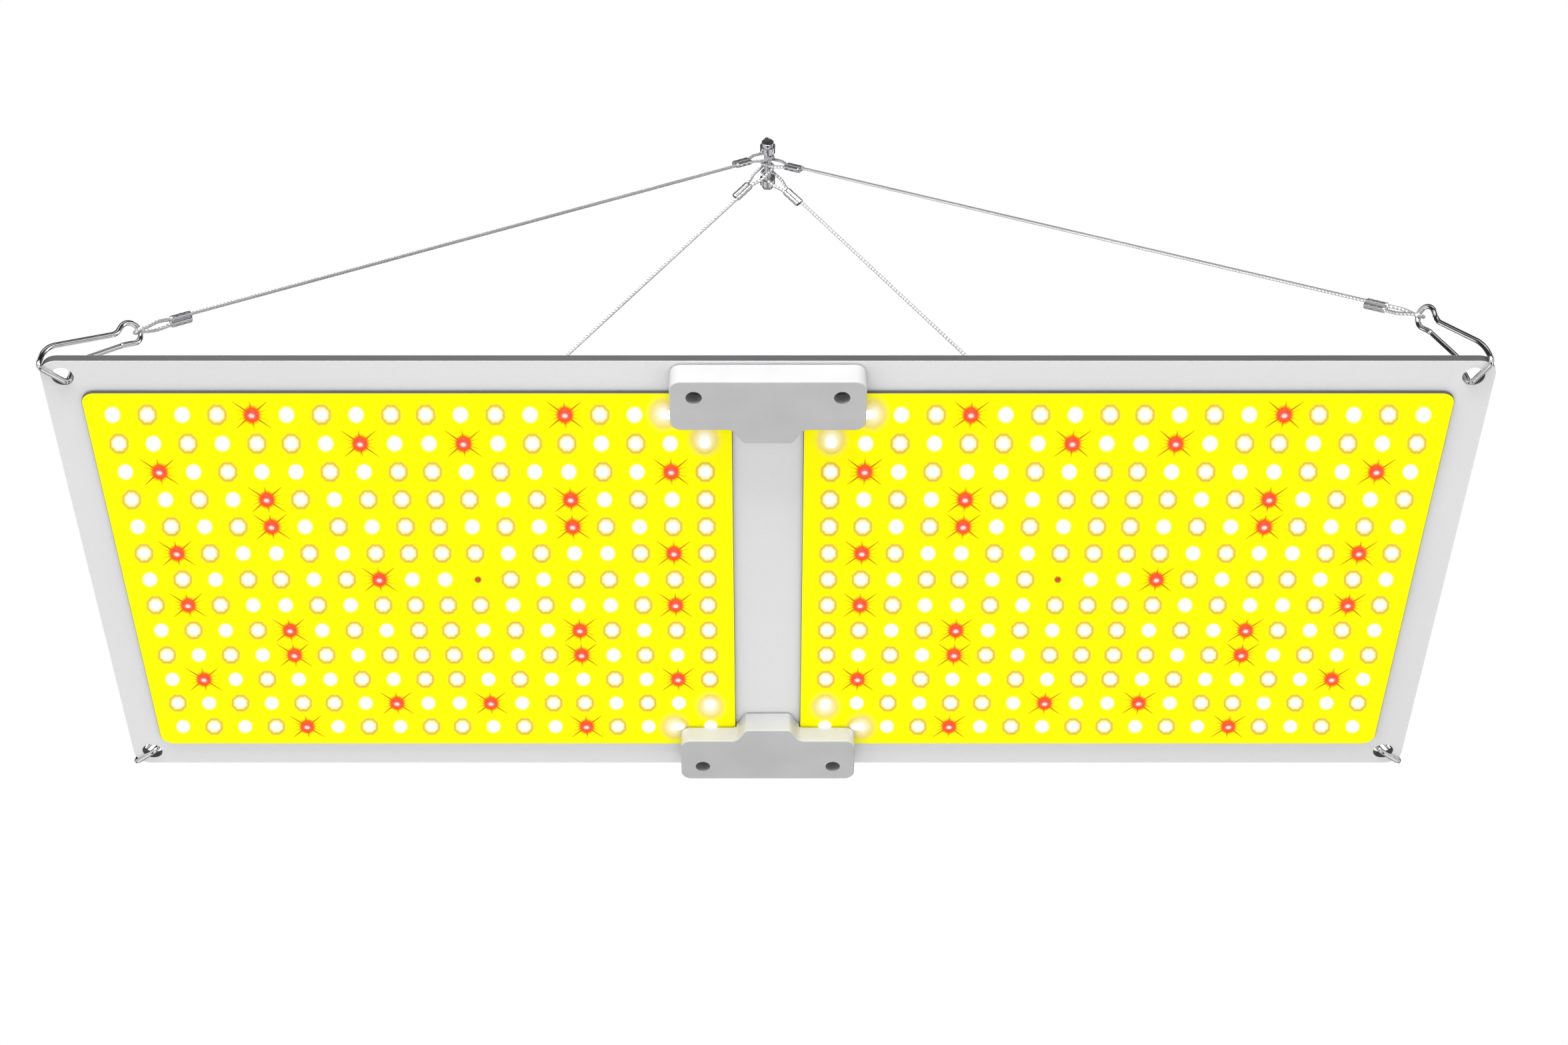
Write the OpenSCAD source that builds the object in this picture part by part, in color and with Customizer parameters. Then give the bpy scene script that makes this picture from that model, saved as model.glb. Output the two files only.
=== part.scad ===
// Hanging LED grow light: an aluminium heatsink plate with two LED boards on its underside,
// two moulded junction covers, a driver on its back and four wire ropes that meet at one shackle.
// +Z is up, +X runs along the lamp. The origin is the point inside the shackle bow that it hangs by.

/* [Plate] */
// Length of the heatsink plate along X
plate_x = 640; // [600:5:680]
// Width of the heatsink plate along Y
plate_y = 270; // [260:5:290]
// Thickness of the heatsink plate
plate_t = 4; // [3:0.5:5]
// Radius of the plate's corners
plate_r = 8; // [5:1:9]
// Distance of a corner hole from the plate's end
hole_inset_x = 9.5; // [9:0.5:11]
// Distance of a corner hole from the plate's side
hole_inset_y = 9; // [9:0.5:11]
// Diameter of a corner hole
hole_d = 10; // [9.5:0.1:10.2]

/* [Boards] */
// Length of one LED board
board_x = 288; // [284:1:290]
// Width of one LED board
board_y = 236; // [230:1:240]
// Thickness of one LED board
board_t = 1.5; // [1:0.1:2]
// Thickness of the pad under a board
pad_t = 0.5; // [0.3:0.1:1]
// Width of bare plate between the boards
strip_w = 32; // [30:1:36]
// Radius of the boards' outer corners
board_r = 6; // [3:1:8]

/* [LEDs] */
// Distance between LED columns
led_pitch_x = 15.48; // [15:0.01:15.6]
// Distance between LED rows
led_pitch_y = 17.5; // [17:0.1:17.9]
// Radius of a cool white LED's lens
cool_r = 3.4; // [3:0.1:3.6]
// Radius of a warm white LED's lens
warm_r = 2.9; // [2.6:0.1:3.4]
// Radius of a red LED's lens
red_r = 3.4; // [3:0.1:3.6]
// Radius of the small diode
diode_r = 1.3; // [1:0.1:1.6]
// Height of the white LEDs' lenses
white_h = 1.4; // [1:0.1:2.8]
// Height of the red LEDs' lenses
red_h = 1; // [0.8:0.1:2.4]
// Height of the small diode, and of the lenses under a cover's edge
low_h = 0.8; // [0.5:0.1:0.9]

/* [Covers] */
// Width of a junction cover
cover_w = 86.6; // [84:0.2:90]
// Depth of a junction cover without its tab
cover_d = 28.8; // [28:0.2:30]
// Height of a junction cover
cover_h = 12; // [11:0.5:14]
// Length of the cover's tab
tab_len = 8; // [7:0.2:8.4]
// Width of the tab's flat end
tab_w = 20; // [18:0.5:21]
// Distance between the two cover screws
cover_screw_gap = 65; // [62:0.5:68]

/* [Driver] */
// Length of the driver's case
driver_x = 190; // [160:5:220]
// Width of the driver's case
driver_y = 64; // [56:2:70]
// Height of the driver's case
driver_z = 36; // [32:1:40]
// Inner diameter of the mains cable gland
gland_bore_d = 7.2; // [6.8:0.1:8]

/* [Hanging] */
// Height of the shackle pin above the plate's LED face
hang_h = 320; // [300:5:340]
// Diameter of the wire ropes
rope_d = 1.8; // [1.5:0.1:2]
// Diameter of the snap hooks' wire
wire_d = 2.5; // [2.3:0.1:2.6]
// Distance from a corner hole to its hook's eye
hook_len = 43; // [41:1:47]
// Lean of the left near hook above its bowl
lean_near_left = 60; // [56:1:64]
// Lean of the right near hook above its bowl
lean_near_right = 80; // [76:1:82]
// Lean of the far hooks above their bowls
lean_far = 60; // [56:1:64]
// Direction of the left near hook's bowl, from the X axis
turn_near_left = 39; // [35:1:45]
// Direction of the right near hook's bowl, from the X axis
turn_near_right = 59; // [54:1:64]
// Direction of the far hooks' bowls, from the X axis
turn_far = 39; // [35:1:45]
// Tilt of the hooks' own planes from upright
hook_tilt = 16; // [13:1:18]

/* [Hidden] */
$fn = 48;

cut = 0.1; // how far a cutting solid passes a face
wall = 1.8; // wall of the mouldings

// Heights: the lamp's own height 0 is the plate's LED face
bow_r = 11; // centreline radius of the shackle's bow
bow_wire = 2; // radius of the shackle's wire
leg_h = 4; // straight leg of the bow above the pin
pin_z = -(bow_r - bow_wire) - leg_h;
lug_r = 4.2;
lug_w = 4;
pin_r = bow_wire;
pin_fit = 0.05; // space round the pin in the lugs
pin_head_r = 3.4;
pin_head_t = 2.5;
pin_tail = 3; // how far the pin passes its far lug
face_z = pin_z - hang_h;

// Corner places, as signs of X and Y
NEAR_LEFT = [-1, -1];
NEAR_RIGHT = [1, -1];
FAR_LEFT = [-1, 1];
FAR_RIGHT = [1, 1];
hole_x = plate_x / 2 - hole_inset_x;
hole_y = plate_y / 2 - hole_inset_y;

pad_inset = 2; // how far a pad's edges stand back from its board's
// LED grid: letters are c cool white, w warm white, r red, s the small diode
led_cols = 18;
led_rows = 13;
LED_HALF_ROWS = ["cwcwrcwcw", "wcwcwwcrc", "crcwccwcw", "wcwcrwcww", "cwcwrcwcw", "wrwccwcww", "cwcwwcwrc"];
led_inner_x = strip_w / 2 + (board_x - (led_cols - 1) * led_pitch_x) / 2;
board_face_z = -pad_t - board_t;

function mirrored(i, n) = i < n / 2 ? i : n - 1 - i;
// Kind of the LED in row r (0 nearest) and column c (0 outermost); a board's innermost column is all
// warm but for its ends, and one place of the middle row holds the small diode
function led_kind(r, c) =
    let (half_row = mirrored(r, led_rows), half_col = mirrored(c, led_cols))
    r == 6 && c == 10 ? "s" :
    c == led_cols - 1 && half_row > 0 ? "w" : LED_HALF_ROWS[half_row][half_col];
// The cover's edge stands over the two innermost columns of the first and last rows
function under_edge(r, c) = (r == 0 || r == led_rows - 1) && c >= led_cols - 2;
function lens_r(kind) = kind == "c" ? cool_r : kind == "w" ? warm_r : kind == "r" ? red_r : diode_r;
function lens_h(kind, low) = low || kind == "s" ? low_h : kind == "r" ? red_h : white_h;
function led_x(c) = led_inner_x + (led_cols - 1 - c) * led_pitch_x;
function led_y(r) = (r - (led_rows - 1) / 2) * led_pitch_y;

// Junction covers
cover_edge = plate_y / 2 - 1.5;
cover_inner = cover_edge - cover_d;
cover_r = 5;
foot_h = 0.6; // the cover's foot stands back from its wall by foot_inset
foot_inset = 0.5;
// One side of the tab from its root to its end: how much wider than the end, and how far out
TAB_SIDE = [[7.3, -0.5], [7.3, 0], [5.6, 0.7], [4.6, 1.7], [3.8, 3], [2.2, 6], [1.3, 7.3], [0, 8]];
cover_screw_y = cover_edge - 9.5;
over_board = 1; // space between a board's face and the cover's wall above it
boss_r = 5;
recess_r = 3.6;
recess_floor = 3.5;
screw_hole_r = 1.75;
plate_tap_r = 1.5;
shank_r = 1.4;
head_r = 3.1; // the cover screws' heads and their cross slots
head_t = 2.2;
slot_len = 3.2;
slot_w = 0.8;

// Wiring
grommet_y = 114;
cable_r = 2.6;
grommet_r = 6;
flange = 1.6; // how far the grommet's flanges stand out round its hole
flange_low = 1.4;
flange_high = 1.8;
conn = [10, 6.4, 4.5];
pole_gap = 4.8; // between a connector's two wires' holes
conn_x = 22.5;
conn_y = 112;
core_r = 0.9;

// Driver
bracket_t = 3;
bracket_w = 16;
bracket_over = 7; // bracket past its screws
case_z = plate_t + bracket_t;
case_wall = 2.5;
fins = 9; // grooves along the case's top
groove_w = 2.4;
groove_depth = 2;
groove_inset = 4.5;
cap_t = 4;
cap_r = 3; // the caps' corner radius
cap_screw = [5, 4.5, 5.5]; // a cap screw's distance from the case's side, bottom and top
bracket_x = 72;
bracket_screw_y = driver_y / 2 + 7;
gland_z = case_z + driver_z / 2;
gland_y = -13;
knob_y = 14;
knob_r = 8;
knob_len = 12;
knob_gap = 2.6; // between the cap and the knob
grips = 16; // grooves round the knob
grip_w = 1.2;
dimmer_shaft_r = 3;
dimmer_bush_r = 4;
dimmer_box = 16;
gland_body_r = 6;
gland_nut_r = 7.6;
gland_nut_len = 9;
gland_hex_r = 9;
gland_hex_t = 4;
cap_x = driver_x / 2 + cap_t;
pcb_t = 1.6;
pcb_z = case_z + case_wall + 3;
parts_z = pcb_z + pcb_t; // what the driver's board carries stands on this height
core_x = 28; // the transformer's core, its limbs, its yoke and its winding
core_h = 20;
limb = 6;
winding_r = 8.9;
winding_h = 14;
yoke = 3;
capacitor_r = 8;
tall = 18; // height of the capacitors and the heat bars
heat_bar_x = 84;
heat_bar_t = 3;

// Route of the cable between the driver's gland and the plate's grommet, in the lamp's own heights
DC_ROUTE = [
    [-112, 0, 25], [-122, 0, 25], [-134, 2, 23], [-145, 9, 19], [-152, 20, 14], [-155, 34, 10],
    [-154, 50, 8], [-148, 67, 7], [-138, 83, 7], [-124, 96, 7], [-108, 105, 7], [-95, 109, 7.5],
    [-84, 111.5, 9], [-73, 113, 12], [-63, 114, 16], [-53, 114, 20.5], [-43, 114, 24.5],
    [-32, 114, 27.3], [-21, 114, 28], [-14.5, 114, 27], [-8.7, 114, 24], [-4, 114, 19.3],
    [-1, 114, 13.5], [0, 114, 7], [0, 114, 2], [0, 114, -3],
];

// Hooks: the bowl goes round the plate's corner and up through the corner hole
function unit(v) = v / norm(v);
eye_r = 5;
neck_r = 7; // distance of the two necks from the eye's centre
eye_gap = 25; // half the angle between the necks
neck_turn = 45; // angle between a neck and the start of the round eye
neck_reach = 2.5; // how far a neck bend reaches from its corner
tip_a = hole_d / 2 - wire_d / 2 - 0.35;
under_z = -wire_d / 2 - 0.35;
outer_a = -11.8;
tip_z = plate_t + 1.5;
bowl_top = plate_t + 5.2;
gate_end = [0.6, plate_t + 3.2];
gate_root_gap = 0.5;
gate_r = wire_d * 0.42;

function pick(k, near_left, near_right, far) =
    k == NEAR_LEFT ? near_left : k == NEAR_RIGHT ? near_right : far;
function lean(k) = pick(k, lean_near_left, lean_near_right, lean_far);
function turn(k) = pick(k, turn_near_left, turn_near_right, turn_far);
function hole_at(k) = [k.x * hole_x, k.y * hole_y, 0];
function outward(k) = [k.x * cos(turn(k)), k.y * sin(turn(k)), 0];
function hook_up(k) =
    let (s = sin(hook_tilt)) [-k.x * s * sin(turn(k)), k.y * s * cos(turn(k)), cos(hook_tilt)];
// A point of corner k's hook plane: p[0] runs inward from the hole, and p[1] up
function in_hook(k, p) = hole_at(k) - p[0] * outward(k) + p[1] * hook_up(k);
function eye_centre(t) = hook_len * [cos(t), sin(t)];
function on_eye(t, angle, r = eye_r) = eye_centre(t) + r * [cos(t + angle), sin(t + angle)];
function bend(a, b, c, r, n = 5) =
    let (p = b + r * unit(a - b), q = b + r * unit(c - b))
    [for (i = [0:n]) let (k = i / n) (1 - k) * (1 - k) * p + 2 * k * (1 - k) * b + k * k * q];
function spine_neck(t) = on_eye(t, 180 - eye_gap, neck_r);
function gate_neck(t) = on_eye(t, 180 + eye_gap, neck_r);
function hook_path(t) =
    let (tip = [tip_a, tip_z], low_in = [tip_a, under_z], low_out = [outer_a, under_z],
         top_out = [outer_a, bowl_top], from = 180 - eye_gap - neck_turn, round = 2 * from)
    concat([tip], bend(tip, low_in, low_out, 2.8), bend(low_in, low_out, top_out, 3.2),
           bend(low_out, top_out, spine_neck(t), 5.5),
           bend(top_out, spine_neck(t), on_eye(t, from), neck_reach),
           [for (i = [0:12]) on_eye(t, from - i * round / 12)],
           bend(on_eye(t, -from), gate_neck(t), gate_end, neck_reach));
function gate_root(t) = gate_neck(t) + neck_reach * unit(gate_end - gate_neck(t));

// Ropes: each loops round the far side of its hook's eye and over the shackle's pin
strand = rope_d / 2 + 0.4; // half the distance between the two strands in a ferrule
lower_run = 17; // from the eye's wire to the lower ferrule
upper_run = 15; // from the pin to the upper ferrule
ferrule_len = 11;
ferrule_wall = 0.6;
loop_gap = 0.3;
loop_pitch = 4.2; // distance between rope loops along the pin
near_twist = -60; // how far a near hook's loop twists on its way to the ferrule

function loop_y(k) = k.y * (1 + k.x * k.y / 2) * loop_pitch;
// The rope pulls on the point of the eye that lies furthest towards the shackle
function rope_lean(k) =
    let (pull = [0, 0, hang_h] - in_hook(k, eye_centre(lean(k))))
    atan2(pull * hook_up(k), -pull * outward(k));
function eye_wire(k) = in_hook(k, on_eye(lean(k), rope_lean(k) - lean(k)));
function pin_at(k) = [0, loop_y(k), pin_z - face_z];
function rope_dir(k) = unit(pin_at(k) - eye_wire(k));
function lower_side(k) =
    let (m = cross(hook_up(k), outward(k)), d = rope_dir(k)) unit(m - (m * d) * d);
function upper_side(k) = unit(cross([0, 1, 0], rope_dir(k)));
function loop_twist(k) = k.y < 0 ? near_twist : 0;
// side, square to d, turned about it
function turned(side, d, angle) = cos(angle) * side + sin(angle) * cross(d, side);
function ferrule_side(k) = turned(lower_side(k), rope_dir(k), loop_twist(k));
// One end of a rope: from its dead end round the loop and back, at wrap radius r
function loop_path(at, d, side, run, r, twist = 0) =
    let (flat = [
        [run + ferrule_len, -strand], [run, -strand], [run * 0.55, -r * 1.02], [r * 0.9, -r * 1.04],
        [0, -r], [-r * 0.71, -r * 0.71], [-r, 0], [-r * 0.71, r * 0.71], [0, r],
        [r * 0.9, r * 1.04], [run * 0.55, r * 1.02], [run, strand], [run + ferrule_len, strand]])
    [for (p = flat) let (share = max(0, min(1, (p[0] - r) / (run - r))))
     at + p[0] * d + p[1] * turned(side, d, twist * share)];
function reversed(list) = [for (i = [len(list) - 1:-1:0]) list[i]];
function rope_path(k) =
    let (d = rope_dir(k), low_r = wire_d / 2 + rope_d / 2 + loop_gap, up_r = pin_r + rope_d / 2 + loop_gap,
         low = loop_path(eye_wire(k), d, lower_side(k), lower_run, low_r, loop_twist(k)),
         up = reversed(loop_path(pin_at(k), -d, upper_side(k), upper_run, up_r)),
         a = low[len(low) - 1], b = up[0])
    concat(low, [for (i = [1:5]) a + (b - a) * i / 6], up);

// A tube swept along points, its rings turning as little as they can
function along(p, i) = unit(p[min(i + 1, len(p) - 1)] - p[max(i - 1, 0)]);
function square_to(n, t) = unit(n - (n * t) * t);
function any_side(t) = square_to(abs(t.z) < 0.8 ? [0, 0, 1] : [1, 0, 0], t);
module tube(p, r, sides = 8) {
    normals = [for (i = 0, n = any_side(along(p, 0)); i < len(p);
                    i = i + 1, n = square_to(n, along(p, min(i, len(p) - 1)))) n];
    rings = [for (i = [0:len(p) - 1]) let (t = along(p, i), n = normals[i], b = cross(t, n))
             for (j = [0:sides - 1]) p[i] + r * (cos(360 * j / sides) * n + sin(360 * j / sides) * b)];
    last = (len(p) - 1) * sides;
    polyhedron(rings, concat(
        [[for (j = [0:sides - 1]) j]],
        [for (i = [0:len(p) - 2], j = [0:sides - 1])
         let (a = i * sides + j, b = i * sides + (j + 1) % sides) [a, a + sides, b + sides, b]],
        [[for (j = [sides - 1:-1:0]) last + j]]));
}

module in_lamp() { translate([0, 0, face_z]) children(); }
module at_four(x, y) { for (sx = [-1, 1], sy = [-1, 1]) translate([sx * x, sy * y, 0]) children(); }
module rounded_block(x, y, z, r) {
    linear_extrude(z) {
        square([x - 2 * r, y], center = true);
        square([x, y - 2 * r], center = true);
        for (sx = [-1, 1], sy = [-1, 1]) translate([sx * (x / 2 - r), sy * (y / 2 - r)]) circle(r);
    }
}
// A cylinder from a point along X, towards -X if its length is negative
module rod_x(at, length, r) {
    translate(at) rotate([0, length < 0 ? -90 : 90, 0]) cylinder(h = abs(length), r = r);
}
// A hole through a plate of thickness t that stands on height 0
module drill(t, r) { translate([0, 0, -cut]) cylinder(h = t + 2 * cut, r = r); }

// Shackle
module shackle_bow() {
    color("silver") difference() {
        union() {
            translate([0, 0, pin_z + leg_h]) rotate([90, 0, 90]) rotate_extrude(angle = 180)
                translate([bow_r, 0]) circle(bow_wire);
            for (s = [-1, 1]) translate([0, s * bow_r, pin_z]) {
                cylinder(h = leg_h, r = bow_wire);
                rotate([90, 0, 0]) cylinder(h = lug_w, r = lug_r, center = true);
            }
        }
        translate([0, 0, pin_z]) rotate([90, 0, 0])
            cylinder(h = 3 * bow_r, r = pin_r + pin_fit, center = true);
    }
}
module shackle_pin() {
    reach = bow_r + lug_w / 2 + cut;
    color("silver") translate([0, 0, pin_z]) rotate([-90, 0, 0]) {
        translate([0, 0, -reach]) cylinder(h = 2 * reach + pin_tail, r = pin_r);
        translate([0, 0, -reach - pin_head_t]) cylinder(h = pin_head_t, r = pin_head_r);
        translate([0, 0, reach]) cylinder(h = pin_tail - 0.6, r = pin_head_r, $fn = 6);
    }
}

// Plate, boards and pads
module heatsink_plate() {
    color("gainsboro") in_lamp() difference() {
        rounded_block(plate_x, plate_y, plate_t, plate_r);
        at_four(hole_x, hole_y) drill(plate_t, hole_d / 2);
        at_four(cover_screw_gap / 2, cover_screw_y) drill(plate_t - 1.1 - cut, plate_tap_r);
        at_four(bracket_x, bracket_screw_y) translate([0, 0, 1]) cylinder(h = plate_t, r = plate_tap_r);
        translate([0, grommet_y, 0]) drill(plate_t, grommet_r);
    }
}
module board_outline(t) {
    translate([strip_w / 2, -board_y / 2, 0]) linear_extrude(t) {
        square([board_x - board_r, board_y]);
        translate([0, board_r]) square([board_x, board_y - 2 * board_r]);
        for (y = [board_r, board_y - board_r]) translate([board_x - board_r, y]) circle(board_r);
    }
}
module led_board(side) {
    color("yellow") in_lamp() translate([0, 0, board_face_z]) mirror([side < 0 ? 1 : 0, 0, 0])
        board_outline(board_t);
}
module left_led_board() { led_board(-1); }
module right_led_board() { led_board(1); }
module thermal_pad(side) {
    color("slategray") in_lamp() translate([0, 0, -pad_t]) mirror([side < 0 ? 1 : 0, 0, 0])
        translate([strip_w / 2 + pad_inset, -board_y / 2 + pad_inset, 0])
            cube([board_x - 3 * pad_inset, board_y - 2 * pad_inset, pad_t]);
}
module left_thermal_pad() { thermal_pad(-1); }
module right_thermal_pad() { thermal_pad(1); }

// LEDs: each lens is a cone that narrows to lens_tip of its radius
lens_tip = 0.6;
module leds(side, kind) {
    radius = lens_r(kind);
    in_lamp() for (r = [0:led_rows - 1], c = [0:led_cols - 1]) if (led_kind(r, c) == kind) {
        height = lens_h(kind, under_edge(r, c));
        translate([side * led_x(c), led_y(r), board_face_z - height])
            cylinder(h = height, r1 = lens_tip * radius, r2 = radius);
    }
}
module left_cool_leds() { color("white") leds(-1, "c"); }
module right_cool_leds() { color("white") leds(1, "c"); }
module left_warm_leds() { color("moccasin") leds(-1, "w"); }
module right_warm_leds() { color("moccasin") leds(1, "w"); }
module left_red_leds() { color("tomato") leds(-1, "r"); }
module right_red_leds() { color("tomato") leds(1, "r"); }
module board_diodes() {
    color("firebrick") for (side = [-1, 1]) leds(side, "s");
}

// Junction covers: drawn for the far side, and turned half round for the near side
module cover_outline(inset) {
    half = cover_w / 2 - inset;
    low = cover_inner + inset;
    high = cover_edge - inset;
    r = cover_r - inset * 0.8;
    tab_half = tab_w / 2 - inset;
    tab_side = [for (p = TAB_SIDE) [tab_half + p[0], low - p[1] * tab_len / 8]];
    translate([-half + r, low]) square([2 * (half - r), high - low]);
    translate([-half, low + r]) square([2 * half, high - low - 2 * r]);
    for (sx = [-1, 1], y = [low + r, high - r]) translate([sx * (half - r), y]) circle(r);
    polygon(concat(tab_side, [for (p = reversed(tab_side)) [-p.x, p.y]]));
}
module junction_cover() {
    clear_z = board_face_z - over_board;
    difference() {
        union() {
            difference() {
                translate([0, 0, -cover_h]) linear_extrude(cover_h - foot_h) cover_outline(0);
                translate([0, 0, -foot_h - cut]) linear_extrude(foot_h + cut) cover_outline(foot_inset);
                translate([0, 0, -cover_h + wall]) linear_extrude(cover_h) cover_outline(wall);
            }
            for (s = [-1, 1]) translate([s * cover_screw_gap / 2, cover_screw_y, -cover_h])
                cylinder(h = cover_h, r = boss_r);
        }
        for (s = [-1, 1]) translate([s * cover_screw_gap / 2, cover_screw_y, 0]) {
            translate([0, 0, -cover_h - cut]) cylinder(h = cover_h - recess_floor + cut, r = recess_r);
            translate([0, 0, -cover_h - cut]) cylinder(h = cover_h + 2 * cut, r = screw_hole_r);
        }
        for (s = [-1, 1]) translate([s > 0 ? strip_w / 2 - 0.4 : -cover_w - strip_w / 2 + 0.4, 0, clear_z])
            cube([cover_w, board_y / 2 + 0.4, cover_h]);
    }
}
module near_cover() { color("white") in_lamp() rotate([0, 0, 180]) junction_cover(); }
module far_cover() { color("white") in_lamp() junction_cover(); }
module cover_screws() {
    color("dimgray") in_lamp() at_four(cover_screw_gap / 2, cover_screw_y) difference() {
        union() {
            translate([0, 0, -recess_floor - head_t]) cylinder(h = head_t, r = head_r);
            translate([0, 0, -recess_floor - cut])
                cylinder(h = recess_floor + plate_t - 1.2 + cut, r = shank_r);
        }
        translate([0, 0, -recess_floor - head_t - cut])
            for (a = [0, 90]) rotate(a) cube([slot_len, slot_w, head_t], center = true);
    }
}

// Wiring under the covers
module board_connectors() {
    color("ivory") in_lamp() at_four(conn_x, conn_y) translate([0, 0, board_face_z - conn.z]) difference() {
        translate([-conn.x / 2, -conn.y / 2, 0]) cube(conn);
        for (s = [-1, 1]) translate([s * pole_gap / 2, -conn.y / 2 - cut, conn.z / 2]) rotate([-90, 0, 0])
            cylinder(h = 2.5, r = core_r + 0.15);
    }
}
// Two cores from one near connector to the other, bowed down over the bare strip
module near_jumper_wires() {
    color("firebrick") in_lamp() for (i = [-1, 1])
        tube([[-conn_x + conn.x / 2, -conn_y + i * 1.6, -5], [-14, -conn_y + i * 1.6, -5.2],
              [-9, -conn_y + i * 1.4, -6], [-4, -conn_y + i * 1.3, -6.6], [0, -conn_y + i * 1.3, -6.8],
              [4, -conn_y + i * 1.3, -6.6], [9, -conn_y + i * 1.4, -6], [14, -conn_y + i * 1.6, -5.2],
              [conn_x - conn.x / 2, -conn_y + i * 1.6, -5]], core_r);
}
// Two cores to each far connector, fanned out from the end of the driver's cable
module far_board_wires() {
    color("firebrick") in_lamp() for (s = [-1, 1], i = [-1, 1])
        tube([[s * 1.2, grommet_y + i * 1.2, -3.02], [s * 1.2, grommet_y + i * 1.2, -3.9],
              [s * 1.7, grommet_y + i * 1.3 - 0.2, -5.2], [s * 3.6, grommet_y + i * 1.5 - 0.6, -6.3],
              [s * 7, grommet_y + i * 1.6 - 1.4, -6.4],
              [s * 12, conn_y + i * 1.6, -5.4], [s * (conn_x - conn.x / 2), conn_y + i * 1.6, -5]], core_r);
}
module cable_grommet() {
    color("black") in_lamp() translate([0, grommet_y, 0]) difference() {
        union() {
            translate([0, 0, -flange_low]) cylinder(h = flange_low, r = grommet_r + flange);
            cylinder(h = plate_t, r = grommet_r);
            translate([0, 0, plate_t]) cylinder(h = flange_high, r = grommet_r + flange);
        }
        translate([0, 0, -flange_low]) drill(flange_low + plate_t + flange_high, cable_r);
    }
}
module dc_cable() { color("black") in_lamp() tube(DC_ROUTE, cable_r, 12); }

// Driver
module driver_case() {
    groove_pitch = (driver_y - 2 * groove_inset) / (fins - 1);
    long = driver_x + 2 * cut;
    color("silver") in_lamp() translate([-driver_x / 2, -driver_y / 2, case_z]) difference() {
        cube([driver_x, driver_y, driver_z]);
        translate([-cut, case_wall, case_wall])
            cube([long, driver_y - 2 * case_wall, driver_z - 2 * case_wall - groove_depth]);
        for (i = [0:fins - 1])
            translate([-cut, groove_inset + i * groove_pitch - groove_w / 2, driver_z - groove_depth])
                cube([long, groove_w, groove_depth + cut]);
    }
}
module cap_outline() {
    translate([-driver_y / 2 + cap_r, 0]) square([driver_y - 2 * cap_r, driver_z]);
    translate([-driver_y / 2, cap_r]) square([driver_y, driver_z - 2 * cap_r]);
    for (y = [-1, 1], z = [cap_r, driver_z - cap_r]) translate([y * (driver_y / 2 - cap_r), z]) circle(cap_r);
}
// A cap on the case's end, less what is passed to it
module driver_cap(side) {
    difference() {
        translate([side * (driver_x + cap_t) / 2, 0, case_z]) rotate([90, 0, 90])
            translate([0, 0, -cap_t / 2]) linear_extrude(cap_t) cap_outline();
        children();
    }
}
module driver_left_cap() {
    color("darkgray") in_lamp() driver_cap(-1)
        rod_x([-driver_x / 2 + cut, 0, gland_z], -(cap_t + 2 * cut), gland_body_r);
}
module driver_right_cap() {
    color("darkgray") in_lamp() driver_cap(1) {
        rod_x([driver_x / 2 - cut, gland_y, gland_z], cap_t + 2 * cut, gland_body_r);
        rod_x([driver_x / 2 - cut, knob_y, gland_z], cap_t + 2 * cut, dimmer_bush_r);
    }
}
module driver_cap_screws() {
    color("dimgray") in_lamp() for (s = [-1, 1], y = [-1, 1], z = [cap_screw[1], driver_z - cap_screw[2]])
        rod_x([s * cap_x, y * (driver_y / 2 - cap_screw[0]), case_z + z], s * 1.4, 2.6);
}
module driver_brackets() {
    length = 2 * (bracket_screw_y + bracket_over);
    color("silver") in_lamp() for (s = [-1, 1]) translate([s * bracket_x, 0, plate_t]) difference() {
        rounded_block(bracket_w, length, bracket_t, 3);
        for (y = [-1, 1]) translate([0, y * bracket_screw_y, 0]) drill(bracket_t, screw_hole_r);
    }
}
module bracket_screws() {
    color("dimgray") in_lamp() at_four(bracket_x, bracket_screw_y) translate([0, 0, case_z]) difference() {
        union() {
            cylinder(h = 2, r = 3);
            translate([0, 0, -bracket_t - 2.8]) cylinder(h = bracket_t + 2.9, r = shank_r);
        }
        translate([0, 0, 1]) cylinder(h = 2, r = 1.4, $fn = 6);
    }
}
module driver_circuit_board() {
    color("darkgreen") in_lamp() translate([-driver_x / 2 + 4, -driver_y / 2 + case_wall + 0.5, pcb_z])
        cube([driver_x - 8, driver_y - 2 * case_wall - 1, pcb_t]);
}
module driver_transformer() {
    limb_y = winding_r + 0.1; // the limbs' inner faces
    color("goldenrod") in_lamp() translate([0, 0, parts_z]) {
        for (y = [-limb_y - limb, limb_y]) translate([-core_x / 2, y, 0]) cube([core_x, limb, core_h]);
        translate([-core_x / 2, -limb_y, 0]) cube([core_x, 2 * limb_y, yoke]);
        translate([0, 0, yoke]) cylinder(h = winding_h, r = winding_r);
    }
}
module driver_capacitors() {
    color("black") in_lamp() for (x = [-60, 52], y = [-11, 11]) translate([x, y, parts_z])
        cylinder(h = tall, r = capacitor_r);
}
module driver_heat_bar() {
    color("silver") in_lamp() for (y = [-24, 24])
        translate([-heat_bar_x / 2, y - heat_bar_t / 2, parts_z]) cube([heat_bar_x, heat_bar_t, tall]);
}
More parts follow.
